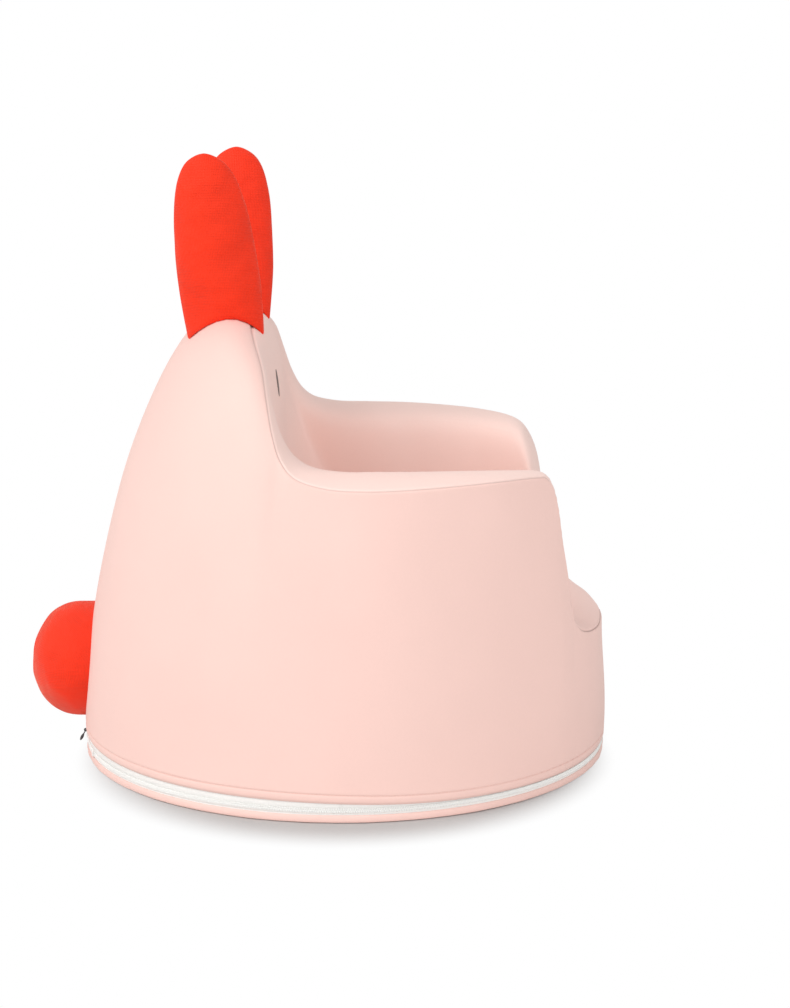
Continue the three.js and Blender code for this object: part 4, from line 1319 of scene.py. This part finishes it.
tape_outer = TAPE_INNER + TAPE_THICKNESS
for name, low, high in (
    ("zip_tape_upper", ZIP_HEIGHT + TAPE_GAP, TAPE_TOP),
    ("zip_tape_lower", BASE_THICKNESS + TAPE_FOOT, ZIP_HEIGHT - TAPE_GAP),
):
    piece = ring_piece("white_" + name, tape_section(low, high))
    smooth(piece)
    dress(piece, white_tape, "zip_white", name)


def coil_turn():
    """One turn of the zip's coil: a short bar, lying up and down, with rounded ends."""
    clear_selection()
    bpy.ops.mesh.primitive_cylinder_add(vertices=8, radius=1, depth=0.7)
    piece = start_piece("coil_turn")
    for sign in (1, -1):
        end = points_of(piece)[:, 2] * sign > 0.34
        for grow, rise in ((0.8, 0.09), (0.5, 0.06)):
            edit(piece, end)
            bpy.ops.mesh.extrude_region_move(TRANSFORM_OT_translate={"value": (0, 0, sign * rise)})
            bpy.ops.transform.resize(value=(grow, grow, 1))
            leave_edit()
            end = points_of(piece)[:, 2] * sign > np.max(points_of(piece)[:, 2] * sign) - 0.001
    return piece


for name, middle, offset in (
    ("zip_teeth_upper", ZIP_HEIGHT + COIL_LIE, 0.0),
    ("zip_teeth_lower", ZIP_HEIGHT - COIL_LIE, 0.5),
):
    lay = Matrix.Translation((tape_outer + COIL_OUT, 0, middle))
    lay = lay @ Matrix.Diagonal((TOOTH_DEPTH / 2, COIL_HALF_PITCH, COIL_LENGTH, 1))
    angles = [(k + offset) / TOOTH_COUNT * 2 * math.pi for k in range(TOOTH_COUNT)]
    turns = [Matrix.Rotation(angle, 4, "Z") @ lay for angle in angles]
    piece = repeated("coil_" + name, coil_turn(), turns)
    smooth(piece, 60)
    dress(piece, white_nylon, "zip_white", name)

strip_inner = tape_outer + STRIP_OUT
strip_section = [(strip_inner + across, height) for across, height in STRIP_SECTION]
strip = ring_piece("base_welt", strip_section, 480)
flat = points_of(strip)
turn = np.arctan2(flat[:, 1], flat[:, 0])
sag = STRIP_SAG * np.sin(turn * 23) * np.sin(turn * 7 + 1) + STRIP_RIPPLE * np.sin(turn * 61)
out = np.clip((np.hypot(flat[:, 0], flat[:, 1]) - strip_inner) / STRIP_DEPTH, 0, 1)
flat[:, :2] *= (1 + sag * out / BODY_RADIUS)[:, None]
set_points(strip, flat)
smooth(strip, 70)
dress(strip, cover_cloth, "cover_pink", "base_strip")


def base_disc():
    """The cloth underside, with a raised ring where its rim is stitched."""
    clear_selection()
    bpy.ops.mesh.primitive_circle_add(vertices=240, radius=tape_outer, fill_type="NGON")
    piece = start_piece("base_under")
    edit(piece)
    for thickness in (BASE_SEAM, BASE_SEAM, 0.05, 0.05, 0.05):
        bpy.ops.mesh.inset(thickness=thickness, depth=0)
    bpy.ops.mesh.poke()
    bpy.ops.mesh.select_all(action="SELECT")
    bpy.ops.mesh.flip_normals()
    leave_edit()
    flat = points_of(piece)
    radius = np.hypot(flat[:, 0], flat[:, 1])
    flat[:, 2] += BASE_SEAM_RISE * bell(radius - (tape_outer - BASE_SEAM), BASE_SEAM_ROLL)
    set_points(piece, flat)
    write_uv(piece, flat[:, :2])
    apply_modifier(piece, "SOLIDIFY", "cloth", thickness=BASE_THICKNESS, offset=-1)
    smooth(piece)
    return piece


dress(base_disc(), base_cloth, "cover_pink", "base_cover_panel")


def hem_stitches():
    """A row of top stitches that holds the hem down."""
    clear_selection()
    length = STITCH_PITCH * STITCH_SHARE
    bpy.ops.mesh.primitive_cylinder_add(vertices=6, radius=STITCH_RADIUS, depth=length)
    stitch = start_piece("stitch")
    stitch.data.transform(Matrix.Rotation(math.radians(90), 4, "X"))
    flat = points_of(stitch)
    flat[:, 0] -= STITCH_DIP * (np.abs(flat[:, 1]) / (length / 2)) ** 4
    set_points(stitch, flat)
    lines = wall_lines(all_rows, np.linspace(0, 0.2, 60))
    ring = [read_at(HEM_STITCH_RISE, far, line) for far, line in zip(travelled(lines), lines)]
    ring = np.array(ring)
    far = travelled(ring)
    count = round(far[-1] / STITCH_PITCH)
    spots = read_at(np.linspace(0, far[-1], count, endpoint=False), far, ring)
    spots = spots - away_from_axis(spots[:, 0], spots[:, 1]) * GROOVE_DEPTH * STITCH_SUNK
    turned = [
        Matrix.Translation(spot) @ Matrix.Rotation(math.atan2(spot[1], spot[0]), 4, "Z")
        for spot in spots
    ]
    return repeated("hem_stitches", stitch, turned)


stitches = hem_stitches()
smooth(stitches, 60)
stitches.data.materials.append(pink_thread)
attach(stitches, "body")


# --- Zip slider, pull and stops ---


def leaf_surface(turn, rise):
    """The pull's neck and grip, hanging straight down from its eye."""
    down = 1 - rise
    table = np.array(LEAF_SHARES)
    half_wide = np.interp(down, table[:, 0], table[:, 1]) * LEAF_WIDTH / 2
    half_thick = np.interp(down, table[:, 0], table[:, 2]) * LEAF_THICKNESS / 2
    drop = PULL_EYE + down * (PULL_LENGTH - PULL_EYE)
    points = np.stack([half_wide * np.cos(turn), half_thick * np.sin(turn), -drop], -1)
    return points, np.stack([turn * LEAF_WIDTH / 2, drop], -1), None


def leaf_pull():
    """A moulded pull: an eye round the slider's bar, a short neck and a leaf-shaped grip."""
    clear_selection()
    bpy.ops.mesh.primitive_torus_add(
        major_radius=PULL_EYE, minor_radius=PULL_WIRE, major_segments=40, minor_segments=12
    )
    eye = start_piece("leaf_pull")
    eye.data.transform(Matrix.Rotation(math.radians(90), 4, "Y"))
    grip = shaped_ball("grip", 32, 28, leaf_surface)
    select(eye)
    grip.select_set(True)
    bpy.ops.object.join()
    lean = Matrix.Rotation(math.radians(PULL_LEAN), 4, "X")
    eye.data.transform(Matrix.Translation((0, PULL_AXIS, ZIP_HEIGHT)) @ lean)
    smooth(eye, 60)
    return eye


dress(leaf_pull(), grey_paint, "zip_grey", "zip_pull", body="pull")

for name, look in {
    "zip_slider": grey_paint,
    "zip_top_stop": white_nylon,
    "zip_end_stop": white_nylon,
}.items():
    materials = frame["nodes"][name].data.materials
    materials.clear()
    materials.append(look)


# --- Room, light and camera ---

# The floor's tone for the light, then the darker tone the camera sees near the sofa and the pool it
# shows in: painted shadow.
FLOOR_TONE = 0.8
PAINTED_SHADOW_TONE = 0.5
PAINTED_SHADOW_MOVED = (-0.04, 0, 0)
PAINTED_SHADOW_SHAPE = (1, 1.08, 1)
PAINTED_SHADOW_EDGE = (0.228, 0.293)
ROOM_LIGHT = 0.64
WARM_WHITE = (1, 0.99, 0.98)
WINDOW_POWER = 46
FILL_POWER = 25
LAMP_AIM = (0, 0, 0.25)
IMAGE_HEIGHT = 1008
FOCUS_IN_PIXELS = 2500
SENSOR = 36
CAMERA_SPOT = (-2.43822, -0.02128, 0.7464)
CAMERA_AIM = (0.9794, -0.01156, -0.2016)


def floor():
    """A pale floor that shows white away from the sofa. Near it the camera sees a darker tone, a
    painted shadow, over the sofa's own shadow.
    """
    clear_selection()
    bpy.ops.mesh.primitive_plane_add(size=30, location=(0, 0, -0.0003))
    piece = start_piece("floor")
    look = Look("white_floor", (FLOOR_TONE,) * 3, 0.9, Specular_IOR_Level=0.0)
    glow = look.node("ShaderNodeEmission", {"Color": (1, 1, 1, 1), "Strength": 1.0})
    path = look.node("ShaderNodeLightPath")
    seen = path.outputs["Is Camera Ray"]
    # Painted shadow: camera rays see the floor darker than other rays do.
    tone = look.spread(seen, 0, 1, FLOOR_TONE, PAINTED_SHADOW_TONE)
    look.links.new(tone, look.shader.inputs["Base Color"])
    # The pool of painted shadow reaches further along the camera's line, in front and behind, than
    # across it; beyond it the floor glows white.
    links = {"Vector": look.vector("ABSOLUTE", look.place())}
    links.update(Location=PAINTED_SHADOW_MOVED, Scale=PAINTED_SHADOW_SHAPE)
    moved = look.node("ShaderNodeMapping", links).outputs[0]
    share = look.spread(look.vector("LENGTH", moved), *PAINTED_SHADOW_EDGE, 0.0, 1.0, "SMOOTHSTEP")
    share = look.maths("MULTIPLY", seen, share)
    links = {0: share, 1: look.shader.outputs[0], 2: glow.outputs[0]}
    mixed = look.node("ShaderNodeMixShader", links).outputs[0]
    look.links.new(mixed, look.nodes["Material Output"].inputs["Surface"])
    piece.data.materials.append(look.material)


def world():
    """Even light from all round, seen as plain white."""
    made = bpy.data.worlds.new("room")
    made.use_nodes = True
    nodes, links = made.node_tree.nodes, made.node_tree.links
    light = nodes["Background"]
    light.inputs["Color"].default_value = (*WARM_WHITE, 1)
    light.inputs["Strength"].default_value = ROOM_LIGHT
    seen = nodes.new("ShaderNodeBackground")
    seen.inputs["Color"].default_value = (1, 1, 1, 1)
    path = nodes.new("ShaderNodeLightPath")
    mix = nodes.new("ShaderNodeMixShader")
    links.new(path.outputs["Is Camera Ray"], mix.inputs[0])
    links.new(light.outputs[0], mix.inputs[1])
    links.new(seen.outputs[0], mix.inputs[2])
    links.new(mix.outputs[0], nodes["World Output"].inputs["Surface"])
    bpy.context.scene.world = made


def lamp(name, spot, size, power, colour=(1, 1, 1)):
    data = bpy.data.lights.new(name, "AREA")
    data.shape = "DISK"
    data.size = size
    data.energy = power
    data.color = colour
    made = put(name, data)
    made.location = spot
    aim = Vector(LAMP_AIM) - Vector(spot)
    made.rotation_euler = aim.to_track_quat("-Z", "Y").to_euler()


def camera():
    data = bpy.data.cameras.new("camera")
    data.sensor_fit = "VERTICAL"
    data.sensor_height = SENSOR
    data.lens = SENSOR * FOCUS_IN_PIXELS / IMAGE_HEIGHT
    made = put("camera", data)
    forward = Vector(CAMERA_AIM).normalized()
    right = forward.cross(Vector((0, 0, 1))).normalized()
    above = right.cross(forward)
    turn = Matrix((right, above, -forward)).transposed().to_4x4()
    made.matrix_world = Matrix.Translation(CAMERA_SPOT) @ turn
    bpy.context.scene.camera = made


floor()
world()
lamp("window", (-1.3, 1.9, 2.3), 1.8, WINDOW_POWER, WARM_WHITE)
lamp("fill", (-2.6, -1.4, 1.4), 2.2, FILL_POWER)
camera()
bpy.context.scene.view_settings.view_transform = "Standard"
